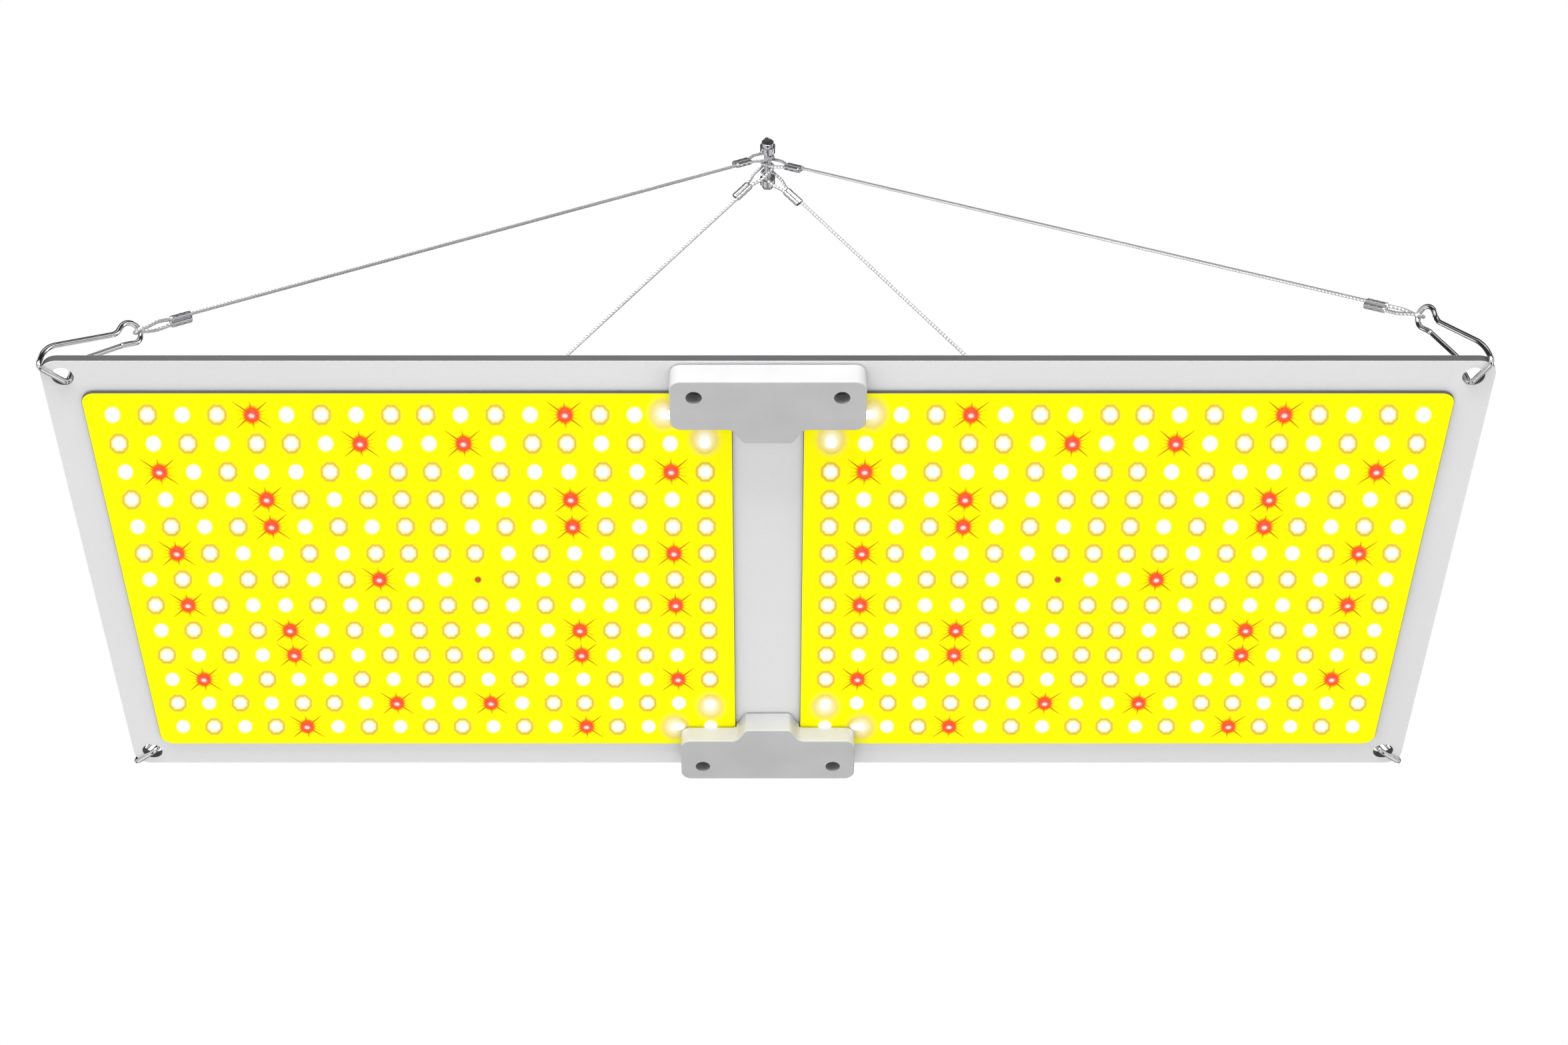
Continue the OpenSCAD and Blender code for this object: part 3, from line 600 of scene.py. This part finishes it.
def loop_path(at, along, side, run, r, twist=0.0):
    """A rope's way round something of radius r, with legs that twist on their way to the ferrule."""
    flat = [
        (run + FERRULE_LEN, -STRAND), (run, -STRAND), (run * 0.55, -r * 1.02), (r * 0.9, -r * 1.04),
        (0, -r), (-r * 0.71, -r * 0.71), (-r, 0), (-r * 0.71, r * 0.71), (0, r),
        (r * 0.9, r * 1.04), (run * 0.55, r * 1.02), (run, STRAND), (run + FERRULE_LEN, STRAND),
    ]
    shares = [min(max((a - r) / (run - r), 0.0), 1.0) for a, _ in flat]
    return [at + along * a + turned(side, along, twist * share) * b for (a, b), share in zip(flat, shares)]


def loop_twist(corner):
    """How far the near ropes' loops twist on their way to the ferrule, which shows both their strands."""
    return -60.0 if CORNERS[corner][1] < 0 else 0.0


def low_loop(corner):
    """The loop round a hook's eye, from its middle out to the ferrule's far end and back."""
    wire, _, along, side, _ = rope_ends(corner)
    return loop_path(wire, along, side, LOWER_RUN, WIRE_D / 2 + ROPE_D / 2 + LOOP_GAP, loop_twist(corner))


def up_loop(corner):
    """The loop over the shackle's pin."""
    _, pin, along, _, side = rope_ends(corner)
    return loop_path(pin, -along, side, UPPER_RUN, PIN_R + ROPE_D / 2 + LOOP_GAP)[::-1]


def rope_path(corner):
    """The rope's route: round the hook's eye, along, and over the shackle's pin."""
    low, up, spans = low_loop(corner), up_loop(corner), 6
    run = [low[-1].lerp(up[0], i / spans) for i in range(1, spans)]
    return low + run + up


def even(path, step):
    """The same path with points a step apart."""
    length = path_length(path)
    count = max(2, round(length / step))
    return places_on(path, [length * i / count for i in range(count + 1)])


def strand_rings(bm, frames, turn, lay_r, radius, rise):
    """A strand's rings: it starts at the angle turn round the rope and climbs by rise a frame."""
    sides = 6
    angles = [2 * math.pi * (j + 0.5) / sides for j in range(sides)]
    rings = []
    for i, (point, normal, side) in enumerate(frames):
        angle = turn + i * rise
        out = normal * math.cos(angle) + side * math.sin(angle)
        aside = side * math.cos(angle) - normal * math.sin(angle)
        section = [radius * (out * math.cos(a) + aside * math.sin(a)) for a in angles]
        rings.append([bm.verts.new(point + lay_r * out + offset) for offset in section])
    return rings


def stranded(path, diameter):
    """A wire rope, six strands laid round a core, and its centreline."""
    strands = 6
    strand_r = diameter / 6 * 1.02
    lay_length = diameter * 6.5
    line = even(curve_through(path, 5), 0.9 * MM)
    frames = frames_along(line)
    rise = 2 * math.pi * path_length(line) / (len(line) - 1) / lay_length
    bm = bmesh.new()
    for strand in range(strands):
        turn = 2 * math.pi * strand / strands
        join_rings(bm, strand_rings(bm, frames, turn, diameter / 2 - strand_r, strand_r, rise))
    join_rings(bm, strand_rings(bm, frames, 2 * math.pi, 0.0, strand_r * 1.1, rise))
    return bm, line


def make_ropes(rope_metal):
    for corner in CORNERS:
        bm, line = stranded(rope_path(corner), ROPE_D)
        rope = new_piece(corner + "_wire_rope", bm, "lamp", "rope", [rope_metal], [corner + "_rope"])
        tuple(line[0])
        path_length(line)


def make_hooks(hook_metal):
    gate_r = WIRE_D * 0.46
    for corner, (_, _, lean, _) in CORNERS.items():
        wire = round_tube(hook_path(corner), WIRE_D / 2, 20)
        new_piece(corner + "_snap_hook", wire, "lamp", "hook", [hook_metal], [corner + "_hook"])
        neck = on_eye(lean, 180 + EYE_GAP, NECK_R)
        root = neck + NECK_REACH * (GATE_END - neck).normalized()
        start, end = in_hook(corner, root), in_hook(corner, GATE_END)
        # The gate's round root is centred on its hinge, so its end passes a radius into the hook's
        start -= gate_r * (end - start).normalized()
        gate = round_tube([start, end], gate_r, 18)
        new_piece(corner + "_spring_gate", gate, corner + "_gate", "hook", [hook_metal], [corner + "_gate"])


def ferrule_outline():
    """Two round barrels side by side, with a waist between them."""
    barrel = ROPE_D / 2 + FERRULE_WALL
    waist = math.acos(min(1.0, STRAND / barrel)) * 0.8
    turn, steps = math.pi - waist, 14
    angles = [-turn + 2 * turn * j / steps for j in range(steps + 1)]
    return [
        (sign * (STRAND + barrel * math.cos(a)), sign * barrel * math.sin(a))
        for sign in (1, -1)
        for a in angles
    ]


# A ferrule's size along it, from one end to its middle: a rolled end, and a shallow crimp mark
FERRULE_HALF = [
    (0.0, 0.86), (0.015, 0.94), (0.04, 0.99), (0.10, 1.0),
    (0.24, 1.0), (0.3, 0.965), (0.36, 0.965), (0.42, 1.0),
]


def add_ferrule(bm, at, along, side):
    """A pressed two-barrel ferrule, with crimp marks and rolled ends."""
    up = along.cross(side)
    outline = ferrule_outline()
    rings = []
    for share, scale in FERRULE_HALF + [(1 - a, s) for a, s in reversed(FERRULE_HALF)]:
        origin = at + along * FERRULE_LEN * share
        rings.append([bm.verts.new(origin + side * x * scale + up * y * scale) for x, y in outline])
    join_rings(bm, rings)


def make_ferrules(ferrule_metal):
    low, up = bmesh.new(), bmesh.new()
    for corner in CORNERS:
        wire, pin, along, low_side, up_side = rope_ends(corner)
        add_ferrule(low, wire + along * LOWER_RUN, along, turned(low_side, along, loop_twist(corner)))
        add_ferrule(up, pin - along * UPPER_RUN, -along, up_side)
    new_piece("hook_ferrules", low, "lamp", "ferrule", [ferrule_metal], ["lower_ferrules"])
    new_piece("shackle_ferrules", up, "lamp", "ferrule", [ferrule_metal], ["upper_ferrules"])


# ---------------------------------------------------------------- boards and LEDs

STRIP_W = 32 * MM
BOARD_LOW, BOARD_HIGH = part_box("right_led_board")
BOARD_X, BOARD_H = BOARD_HIGH.x - BOARD_LOW.x, BOARD_HIGH.y
BOARD_R = 6 * MM
ARC_STEPS = 8
PITCH_X, PITCH_Y = 15.48 * MM, 17.5 * MM
COLS, ROWS = 18, 13
LED_INNER_X = STRIP_W / 2 + (BOARD_X - (COLS - 1) * PITCH_X) / 2
# LEDs this close to the middle and this far out along Y are at a cover, and have low lenses
AT_COVER_X, AT_COVER_Y = 50 * MM, 100 * MM
LOW_LENS = 0.8 * MM
# LED kinds of the near rows up to the middle one, each from its outermost column to the board's middle
HALF_ROWS = ["cwcwrcwcw", "wcwcwwcrc", "crcwccwcw", "wcwcrwcww", "cwcwrcwcw", "wrwccwcww", "cwcwwcwrc"]
KIND_NUMBER = {"c": 1.0, "w": 2.0, "r": 3.0, "s": 4.0}
DIODE_ROW_COL = (6, 10)


def mirrored(i, n):
    return i if i < n / 2 else n - 1 - i


def led_kind(row, col):
    """c cool white, w warm white, r red or s the small diode; col 0 is the outermost."""
    half_row, half_col = mirrored(row, ROWS), mirrored(col, COLS)
    if (row, col) == DIODE_ROW_COL:
        return "s"
    if col == COLS - 1 and half_row > 0:
        return "w"
    return HALF_ROWS[half_row][half_col]


def led_places(kind):
    """Centres of one board's LEDs of a kind, on the positive side."""
    return [
        (LED_INNER_X + (COLS - 1 - col) * PITCH_X, (row - (ROWS - 1) / 2) * PITCH_Y)
        for row in range(ROWS)
        for col in range(COLS)
        if led_kind(row, col) == kind
    ]


def board_edge(inset):
    """The board's outline on the positive side, from its near inner corner round to its far one."""
    x0, x1 = STRIP_W / 2 + inset, STRIP_W / 2 + BOARD_X - inset
    h, r = BOARD_H - inset, BOARD_R - inset
    grid_lo = LED_INNER_X - PITCH_X / 2
    turns = [math.radians(90 * i / ARC_STEPS) for i in range(ARC_STEPS + 1)]
    near = [(x1 - r + r * math.sin(a), r - h - r * math.cos(a)) for a in turns]
    far = [(x1 - r + r * math.cos(a), h - r + r * math.sin(a)) for a in turns]
    return [(x0, -h), (grid_lo, -h), *near, *far, (grid_lo, h), (x0, h)]


# How much longer a halo on the board is along Y than along X, and how much its far end leans outward
# for each millimetre from the lamp's middle, so that it looks round from below the near side
HALO_STRETCH = 1.42
HALO_LEAN = 0.00048


def board_grid(bm, vert, kind_of):
    """The cells of a board's LED face; returns the grid's places along X and along Y."""
    # The outermost cells are cut short, so that they stay inside the board's round corners
    gx = [LED_INNER_X + (i - 0.5) * PITCH_X for i in range(COLS)] + [LED_INNER_X + (COLS - 0.62) * PITCH_X]
    gy = [(j - ROWS / 2) * PITCH_Y for j in range(ROWS + 1)]
    for i in range(COLS):
        for j in range(ROWS):
            corners = [(gx[i], gy[j]), (gx[i + 1], gy[j]), (gx[i + 1], gy[j + 1]), (gx[i], gy[j + 1])]
            face = bm.faces.new([vert(x, y, BOARD_LOW.z) for x, y in corners])
            face[kind_of] = KIND_NUMBER[led_kind(j, COLS - 1 - i)]
    return gx, gy


def board_mesh(side):
    """A board whose LED face is a grid of cells, each holding its LED's kind in the attribute led."""
    bm = bmesh.new()
    kind_of = bm.faces.layers.float.new("led")
    z_front, z_back, chamfer = BOARD_LOW.z, BOARD_HIGH.z, 0.2 * MM
    shared = {}

    def vert(x, y, z):
        key = (round(x * 1e7), round(y * 1e7), round(z * 1e7))
        if key not in shared:
            shared[key] = bm.verts.new((side * x, y, z))
        return shared[key]

    gx, gy = board_grid(bm, vert, kind_of)
    # The margin round the grid: its inner side, near side, far side and outer side
    front = [vert(x, y, z_front) for x, y in board_edge(chamfer)]
    inner = [vert(gx[0], y, z_front) for y in gy]
    outer = [vert(gx[-1], y, z_front) for y in gy]
    bottom = [vert(x, gy[0], z_front) for x in gx]
    top = [vert(x, gy[-1], z_front) for x in gx]
    count = len(front)
    near_in, far_in = 1, count - 2
    half = near_in + 1 + ARC_STEPS
    bm.faces.new([front[0], front[near_in], *inner, front[far_in], front[-1]])
    bm.faces.new([front[near_in], *front[near_in + 1 : half], outer[0], *bottom[-2::-1]])
    bm.faces.new([*front[half : far_in + 1], *top])
    bm.faces.new([outer[0], front[half - 1], front[half], *reversed(outer[1:])])
    # The board's edge and back, in its second material
    middle = [vert(x, y, z_front + chamfer) for x, y in board_edge(0)]
    back = [vert(x, y, z_back) for x, y in board_edge(0)]
    edge_faces = [bm.faces.new(list(reversed(back)))]
    for low, high in ((front, middle), (middle, back)):
        for i in range(count):
            k = (i + 1) % count
            edge_faces.append(bm.faces.new((low[i], low[k], high[k], high[i])))
    for face in edge_faces:
        face.material_index = 1
    return bm


# Where a halo starts to fade and where it ends, in millimetres from its LED's middle
COOL_HALO, RED_HALO, SMALL_HALO = (2.8, 3.7), (3.0, 4.4), (1.2, 2.0)
WARM_RING, WARM_FADE = (2.5, 4.8), (4.5, 5.0)
# A red LED's painted light rays in one quarter: (turn in degrees, length, width at the root), in millimetres
RAYS = [(0.0, 7.7, 0.26), (25.0, 10.0, 0.30), (46.0, 14.2, 0.58), (88.0, 10.2, 0.34)]
# Where light escapes from under the covers' edges, in millimetres from the lamp's middle, and how far
GLOWS = [(46.5, 105.5), (28.4, 90.0)]
GLOW_REACH = 8.8
BOARD_YELLOW = (1.0, 0.93, 0.0)


def distance_of(n, x, y):
    return n.maths("SQRT", n.maths("ADD", n.maths("MULTIPLY", x, x), n.maths("MULTIPLY", y, y)))


def uneven(n, wobble, amount):
    return n.maths("MULTIPLY", n.maths("SUBTRACT", wobble, 0.5), amount)


def warm_ring(n, upright, level, halo_r, wobble):
    """A warm LED's colours: a cream halo with a golden, scalloped rim; and its distance from the middle."""
    lobes, depth = 8.0, 0.13
    wave = n.maths("COSINE", n.maths("MULTIPLY", n.maths("ARCTAN2", level, upright), lobes))
    scalloped = n.maths("ADD", halo_r, n.maths("MULTIPLY", wave, depth))
    warm_r = n.maths("ADD", scalloped, uneven(n, wobble, 0.5))
    colours = n.ramp(
        n.spread(warm_r, *WARM_RING, 0.0, 1.0),
        [
            (0.0, (1, 0.97, 0.66)), (0.12, (1.0, 0.90, 0.42)), (0.30, (0.94, 0.78, 0.26)),
            (0.48, (0.77, 0.53, 0.09)), (0.68, (0.74, 0.50, 0.06)), (0.86, (0.88, 0.70, 0.03)),
            (1.0, BOARD_YELLOW),
        ],
    )
    return colours, warm_r


def red_rays(n, dx, dy):
    """Twelve thin painted light rays round a red LED, the diagonal ones longest and widest."""
    start, soft_edge = 2.8, 0.09
    fx, fy = n.maths("ABSOLUTE", dx), n.maths("ABSOLUTE", dy)
    rays = None
    for turn, length, width in RAYS:
        c, s = math.cos(math.radians(turn)), math.sin(math.radians(turn))
        along = n.maths("ADD", n.maths("MULTIPLY", fx, c), n.maths("MULTIPLY", fy, s))
        aside = n.maths("SUBTRACT", n.maths("MULTIPLY", fx, s), n.maths("MULTIPLY", fy, c))
        half = n.spread(along, start, length, width, 0.0)
        inside = n.maths("SUBTRACT", half, n.maths("ABSOLUTE", aside))
        ray = n.maths("DIVIDE", inside, soft_edge, clamp=True)
        rays = ray if rays is None else n.maths("MAXIMUM", rays, ray)
    return rays


def cover_glow(n, colour, side_x, side_y, x, y, wobble):
    """colour, with the soft golden light that escapes at (x, y) beside a cover."""
    ex = n.maths("SUBTRACT", side_x, x)
    ey = n.maths("MULTIPLY", n.maths("SUBTRACT", side_y, y), 1 / HALO_STRETCH)
    soft = n.maths("ADD", distance_of(n, ex, ey), uneven(n, wobble, 1.6))
    tint = n.ramp(
        n.spread(soft, 1.5, GLOW_REACH, 0.0, 1.0),
        [
            (0.0, (1, 1, 0.9)), (0.22, (0.95, 0.86, 0.46)), (0.6, (0.85, 0.68, 0.16)),
            (1.0, (1.0, 0.93, 0.02)),
        ],
    )
    return n.mix(n.spread(soft, GLOW_REACH * 0.55, GLOW_REACH, 1.0, 0.0), colour, tint)


def board_material():
    """Yellow solder mask with the light that each kind of LED throws on it round its lens painted into its
    colour, and a faint glow of that colour as painted light.
    """
    n = Nodes("solder_mask")
    split = n.add("ShaderNodeSeparateXYZ")
    n.feed(split.inputs[0], n.place)
    outward = n.maths("ABSOLUTE", split.outputs["X"])
    col = n.maths("DIVIDE", n.maths("SUBTRACT", outward, LED_INNER_X), PITCH_X)
    row = n.maths("DIVIDE", split.outputs["Y"], PITCH_Y)
    # From the nearest LED's middle, in millimetres
    dx = n.maths("MULTIPLY", n.maths("SUBTRACT", col, n.maths("ROUND", col)), PITCH_X / MM)
    dy = n.maths("MULTIPLY", n.maths("SUBTRACT", row, n.maths("ROUND", row)), PITCH_Y / MM)
    kind = n.attribute("led")
    wobble = n.noise(900.0, 2.0)

    def only(letter, share):
        return n.maths("MULTIPLY", n.maths("COMPARE", kind, KIND_NUMBER[letter], 0.3), share)

    level = n.maths("MULTIPLY", dy, 1 / HALO_STRETCH)
    lean = n.maths("MULTIPLY", n.maths("MULTIPLY", outward, HALO_LEAN / MM), dy)
    upright = n.maths("SUBTRACT", dx, lean)
    halo_r = distance_of(n, upright, level)
    colour = n.mix(n.spread(n.noise(9.0), 0.35, 0.65, 0.0, 1.0), BOARD_YELLOW, (1.0, 0.97, 0.0))
    warm_colours, warm_r = warm_ring(n, upright, level, halo_r, wobble)
    colour = n.mix(only("w", n.spread(warm_r, *WARM_FADE, 1.0, 0.0)), colour, warm_colours)
    colour = n.mix(only("c", n.spread(halo_r, *COOL_HALO, 1.0, 0.0)), colour, (1.0, 1.0, 0.95))
    # Dark red rays painted round each red LED on the board: painted light.
    rays = n.maths("MULTIPLY", red_rays(n, dx, dy), 0.85)
    colour = n.mix(only("r", rays), colour, (0.60, 0.07, 0.0))
    colour = n.mix(only("r", n.spread(halo_r, *RED_HALO, 1.0, 0.0)), colour, (1.0, 0.11, 0.01))
    colour = n.mix(only("s", n.spread(halo_r, *SMALL_HALO, 0.8, 0.0)), colour, (0.35, 0.08, 0.02))
    side_x = n.maths("DIVIDE", outward, MM)
    side_y = n.maths("DIVIDE", n.maths("ABSOLUTE", split.outputs["Y"]), MM)
    for x, y in GLOWS:
        colour = cover_glow(n, colour, side_x, side_y, x, y, wobble)
    grain = n.noise(2400.0, 2.0)
    n.bump(grain, 0.05, 0.0001)
    # The board glows faintly with its colour, halos and all: painted light, since the board is no lamp.
    n.feed(n.shader.inputs["Emission Color"], colour)
    return n.set(
        Base_Color=colour, Roughness=n.spread(grain, 0.3, 0.7, 0.5, 0.62), Emission_Strength=0.05,
        Specular_IOR_Level=0.05,
    )


def lens_material(name, stops, base, strength):
    """A lit lens: its glow changes from the middle (attribute glow 0) to the rim (1)."""
    n = Nodes(name)
    share = n.attribute("glow")
    speck = n.maths("MULTIPLY", n.maths("SUBTRACT", n.noise(1800.0), 0.5), 0.08)
    n.feed(n.shader.inputs["Emission Color"], n.ramp(n.maths("ADD", share, speck), stops))
    return n.set(
        Base_Color=n.mix(share, base, tuple(c * 0.9 for c in base)),
        Roughness=n.spread(speck, -0.03, 0.03, 0.22, 0.34),
        Emission_Strength=strength,
    )


def lens_mesh(bm, places, side, radius, height):
    """Adds domed lenses on the board's face, whose attribute glow is 0 in the middle and 1 at the rim."""
    glow = bm.verts.layers.float.get("glow") or bm.verts.layers.float.new("glow")
    steps = 8
    angles = [math.radians(90 * i / steps) for i in range(steps)]
    for x, y in places:
        at_cover = abs(y) > AT_COVER_Y and x < AT_COVER_X
        tall = LOW_LENS if at_cover else height
        shape = [(math.sin(a) * tall, math.cos(a) * radius) for a in angles] + [(tall, 0.0)]
        rings = add_lathe(bm, (side * x, y, BOARD_LOW.z), (0, 0, -1), shape, sides=28)
        for (_, from_middle), ring in zip(shape, rings):
            for v in ring:
                v[glow] = from_middle / radius


def lens_materials():
    """The materials of the cool white, warm white, red and small red lenses."""
    cool = lens_material(
        "cool_light", [(0.0, (1, 1, 1)), (0.93, (1, 1, 1)), (1.0, (0.97, 0.98, 0.88))], (1, 1, 1), 1.1
    )
    warm = lens_material(
        "warm_light", [(0.0, (1, 1, 1)), (0.85, (1, 1, 0.98)), (1.0, (1, 0.97, 0.80))], (1, 0.98, 0.9), 1.1
    )
    red = lens_material(
        "red_light",
        [
            (0.0, (1, 0.95, 0.93)), (0.28, (1, 0.84, 0.80)), (0.46, (0.98, 0.14, 0.08)),
            (0.8, (0.95, 0.055, 0.025)), (1.0, (0.90, 0.10, 0.02)),
        ],
        (0.22, 0.01, 0.005), 0.95,
    )
    small = lens_material(
        "dim_red_light", [(0.0, (0.8, 0.3, 0.2)), (0.35, (0.5, 0.04, 0.02)), (1.0, (0.2, 0.01, 0.0))],
        (0.45, 0.03, 0.02), 0.4,
    )
    return cool, warm, red, small


def make_boards_and_leds():
    mask = board_material()
    cool, warm, red, small = lens_materials()
    edge = moulding("board_edge", (0.055, 0.055, 0.058), 0.6, 1800, 0.2)
    lenses = [
        ("cool", "c", cool, 2.9 * MM, 1.2 * MM, "cool_led"),
        ("warm", "w", warm, 2.5 * MM, 1.2 * MM, "warm_led"),
        ("red", "r", red, 3.2 * MM, 0.7 * MM, "red_led"),
    ]
    small_lenses = bmesh.new()
    for side, name in ((-1, "left"), (1, "right")):
        board = board_mesh(side)
        new_piece(name + "_board_face", board, "lamp", "led_board", [mask, edge], [name + "_led_board"])
        for word, kind, material, radius, height, slot in lenses:
            bm = bmesh.new()
            lens_mesh(bm, led_places(kind), side, radius, height)
            new_piece(f"{name}_{word}_lenses", bm, "lamp", slot, [material], [f"{name}_{word}_leds"])
        lens_mesh(small_lenses, led_places("s"), side, 1.3 * MM, LOW_LENS)
    new_piece("small_diode_lenses", small_lenses, "lamp", "small_diode", [small], ["board_diodes"])


# ---------------------------------------------------------------- plate, covers, driver


def plate_material():
    """Satin anodised aluminium with a fine blasted grain."""
    n = Nodes("satin_aluminium")
    grain = n.noise(1500.0, 3.0, 0.65)
    cloud = n.noise(5.0, 3.0)
    base = n.mix(n.spread(cloud, 0.35, 0.65, 0.0, 1.0), (0.76, 0.76, 0.765), (0.79, 0.79, 0.795))
    speckled = n.mix(n.spread(grain, 0.25, 0.75, 0.0, 0.10), base, (0.5, 0.5, 0.51))
    n.bump(grain, 0.10, 0.0001)
    return n.set(Base_Color=speckled, Metallic=0.15, Roughness=n.spread(grain, 0.3, 0.7, 0.50, 0.66))


def make_plate():
    rim_x, rim_y = 12 * MM, 8.2 * MM
    # The plate's side faces round its rim take this dark grey: painted shade on the plate's sides.
    edge = metal("plate_side_painted_shade", (0.092, 0.092, 0.096), 0.5, (1, 1, 12), 700, metallic=0.3)
    plate = softened("heatsink_plate", "lamp", "plate", [plate_material(), edge], 0.25 * MM, 2)
    for face in plate.data.polygons:
        on_rim = abs(face.center.x) > PLATE_X / 2 - rim_x or abs(face.center.y) > PLATE_Y / 2 - rim_y
        if on_rim and abs(face.normal.z) < 0.3:
            face.material_index = 1


COVER_SCREW_X, COVER_SCREW_Y = 32.5 * MM, 124 * MM


def from_cover_screw(point):
    """How far a point is from the middle of the nearest of the covers' screws, seen from below."""
    return math.hypot(abs(point.x) - COVER_SCREW_X, abs(point.y) - COVER_SCREW_Y)


def make_covers():
    shell = moulding("cover_moulding", (0.49, 0.49, 0.492), 0.36, 2200, 0.10)
    # The darker grey inside the screw recesses is painted shade, not a different plastic.
    recess_shade = moulding("recess_painted_shade", (0.30, 0.30, 0.302), 0.5, 2200, 0.10)
    clear_of_screw, recess_r = 4 * MM, 3.62 * MM
    for node in ("near_cover", "far_cover"):
        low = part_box(node)[0].z

        def on_face_outline(edge):
            ends = [v.co for v in edge.verts]
            return all(abs(at.z - low) < 1e-5 and from_cover_screw(at) > clear_of_screw for at in ends)

        wide = (0.7 * MM, 4, on_face_outline)
        cover = softened(node, "lamp", "cover", [shell, recess_shade], 0.12 * MM, 2, 40, wide)
        for face in cover.data.polygons:
            # Faces inside the screw recesses take the darker grey: painted shade.
            if from_cover_screw(face.center) < recess_r and face.center.z > low + 0.2 * MM:
                face.material_index = 1
    oxide = metal("black_oxide", (0.32, 0.32, 0.33), 0.42, grain=1600)
    softened("cover_screws", "lamp", "black_screw", [oxide], 0.2 * MM, 2)


# The driver cable's way from its gland over the plate's back and down to the far board connectors,
# in millimetres, with heights above the LED face
DC_ROUTE = [
    (-112, 0, 25), (-122, 0, 25), (-134, 2, 23), (-145, 9, 19), (-152, 20, 14), (-155, 34, 10),
    (-154, 50, 8), (-148, 67, 7), (-138, 83, 7), (-124, 96, 7), (-108, 105, 7), (-95, 109, 7.5),
    (-84, 111.5, 9), (-73, 113, 12), (-63, 114, 16), (-53, 114, 20.5), (-43, 114, 24.5),
    (-32, 114, 27.3), (-21, 114, 28), (-14.5, 114, 27), (-8.7, 114, 24), (-4, 114, 19.3),
    (-1, 114, 13.5), (0, 114, 7), (0, 114, 2), (0, 114, -3),
]
CABLE_R = 2.6 * MM


def lamp_point(x, y, z):
    """A point given in millimetres, with its height above the LED face, in the frame's metres."""
    return Vector((x * MM, y * MM, FACE_Z + z * MM))


def make_cable():
    sides = 20
    jacket = moulding("cable_jacket", (0.022, 0.022, 0.024), 0.45, 1800, 0.2)
    line = curve_through([lamp_point(*p) for p in DC_ROUTE], 6)
    angles = [2 * math.pi * j / sides for j in range(sides)]
    circle = [(CABLE_R * math.cos(a), CABLE_R * math.sin(a)) for a in angles]
    bm = rings_along(line, lambda i: circle)
    cable = new_piece("driver_cable", bm, "lamp", "cable", [jacket], ["dc_cable"])
    path_length(line)
    rubber = moulding("grommet_rubber", (0.03, 0.03, 0.03), 0.7, 900, 0.25)
    softened("cable_grommet", "lamp", "grommet", [rubber], 0.3 * MM, 3)


def make_wiring():
    insulation = moulding("wire_insulation", (0.55, 0.02, 0.015), 0.3, 2000, 0.05)
    ivory = moulding("connector_moulding", (0.85, 0.83, 0.74), 0.35)
    for node in ("near_jumper_wires", "far_board_wires"):
        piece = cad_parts[node]
        piece.data.materials.clear()
        piece.data.materials.append(insulation)
        piece.data.shade_smooth()
    softened("board_connectors", "lamp", "connector", [ivory], 0.25 * MM, 2)
    pad = moulding("thermal_silicone", (0.20, 0.21, 0.23), 0.75, 700, 0.3)
    for side in ("left", "right"):
        softened(side + "_thermal_pad", "lamp", "thermal_pad", [pad], 0.1 * MM, 2)


def make_driver_shell():
    extrusion = metal("driver_extrusion", (0.62, 0.62, 0.64), 0.34, (0.02, 1, 1), 900, 0.12)
    coat = moulding("cap_powder_coat", (0.20, 0.20, 0.21), 0.5, 1600, 0.3)
    zinc = metal("zinc_screw", (0.62, 0.63, 0.66), 0.3, grain=1500)
    pressed = metal("bracket_zinc", (0.66, 0.66, 0.68), 0.34, (1, 0.03, 1))
    nylon = moulding("gland_nylon", (0.03, 0.03, 0.032), 0.4, 1400, 0.15)
    knob = moulding("knob_moulding", (0.018, 0.018, 0.02), 0.34, 1400, 0.12)
    softened("driver_case", "lamp", "driver_case", [extrusion], 0.4 * MM, 3)
    for node in ("driver_left_cap", "driver_right_cap"):
        softened(node, "lamp", "driver_cap", [coat], 0.8 * MM, 3)
    for node in ("driver_cap_screws", "bracket_screws"):
        softened(node, "lamp", "steel_screw", [zinc], 0.3 * MM, 3)
    softened("driver_brackets", "lamp", "bracket", [pressed], 0.4 * MM, 3)
    for node in ("dc_gland", "ac_gland"):
        softened(node, "lamp", "gland", [nylon], 0.4 * MM, 3)
    softened("dimmer_body", "lamp", "gland", [nylon], 0.3 * MM, 2)
    softened("dimmer_knob", "dimmer_knob", "knob", [knob], 0.35 * MM, 3)


def make_driver_inside():
    mask = moulding("green_mask", (0.01, 0.12, 0.03), 0.4)
    ferrite = moulding("ferrite_and_tape", (0.45, 0.30, 0.03), 0.5)
    sleeve = moulding("capacitor_sleeve", (0.02, 0.02, 0.03), 0.35)
    bar = metal("mill_aluminium", (0.6, 0.6, 0.62), 0.4)
    softened("driver_circuit_board", "lamp", "circuit_board", [mask], 0.1 * MM, 2)
    softened("driver_transformer", "lamp", "transformer", [ferrite], 0.4 * MM, 2)
    softened("driver_capacitors", "lamp", "capacitor", [sleeve], 0.6 * MM, 3)
    softened("driver_heat_bar", "lamp", "heat_bar", [bar], 0.3 * MM, 2)


def make_shackle():
    zinc = plated("bright_zinc", (0.72, 0.73, 0.75), 0.14)
    for node in ("shackle_bow", "shackle_pin"):
        softened(node, "shackle", "shackle", [zinc], 0.35 * MM, 3, 40)


make_camera()
make_studio()
make_ropes(metal("galvanised_strand", (0.80, 0.80, 0.81), 0.42, grain=1800))
make_cable()
make_hooks(plated("nickel_plate", (0.86, 0.86, 0.87), 0.05))
make_ferrules(metal("pressed_aluminium", (0.70, 0.70, 0.72), 0.26, grain=1600))
make_boards_and_leds()
make_plate()
make_covers()
make_wiring()
make_driver_shell()
make_driver_inside()
make_shackle()
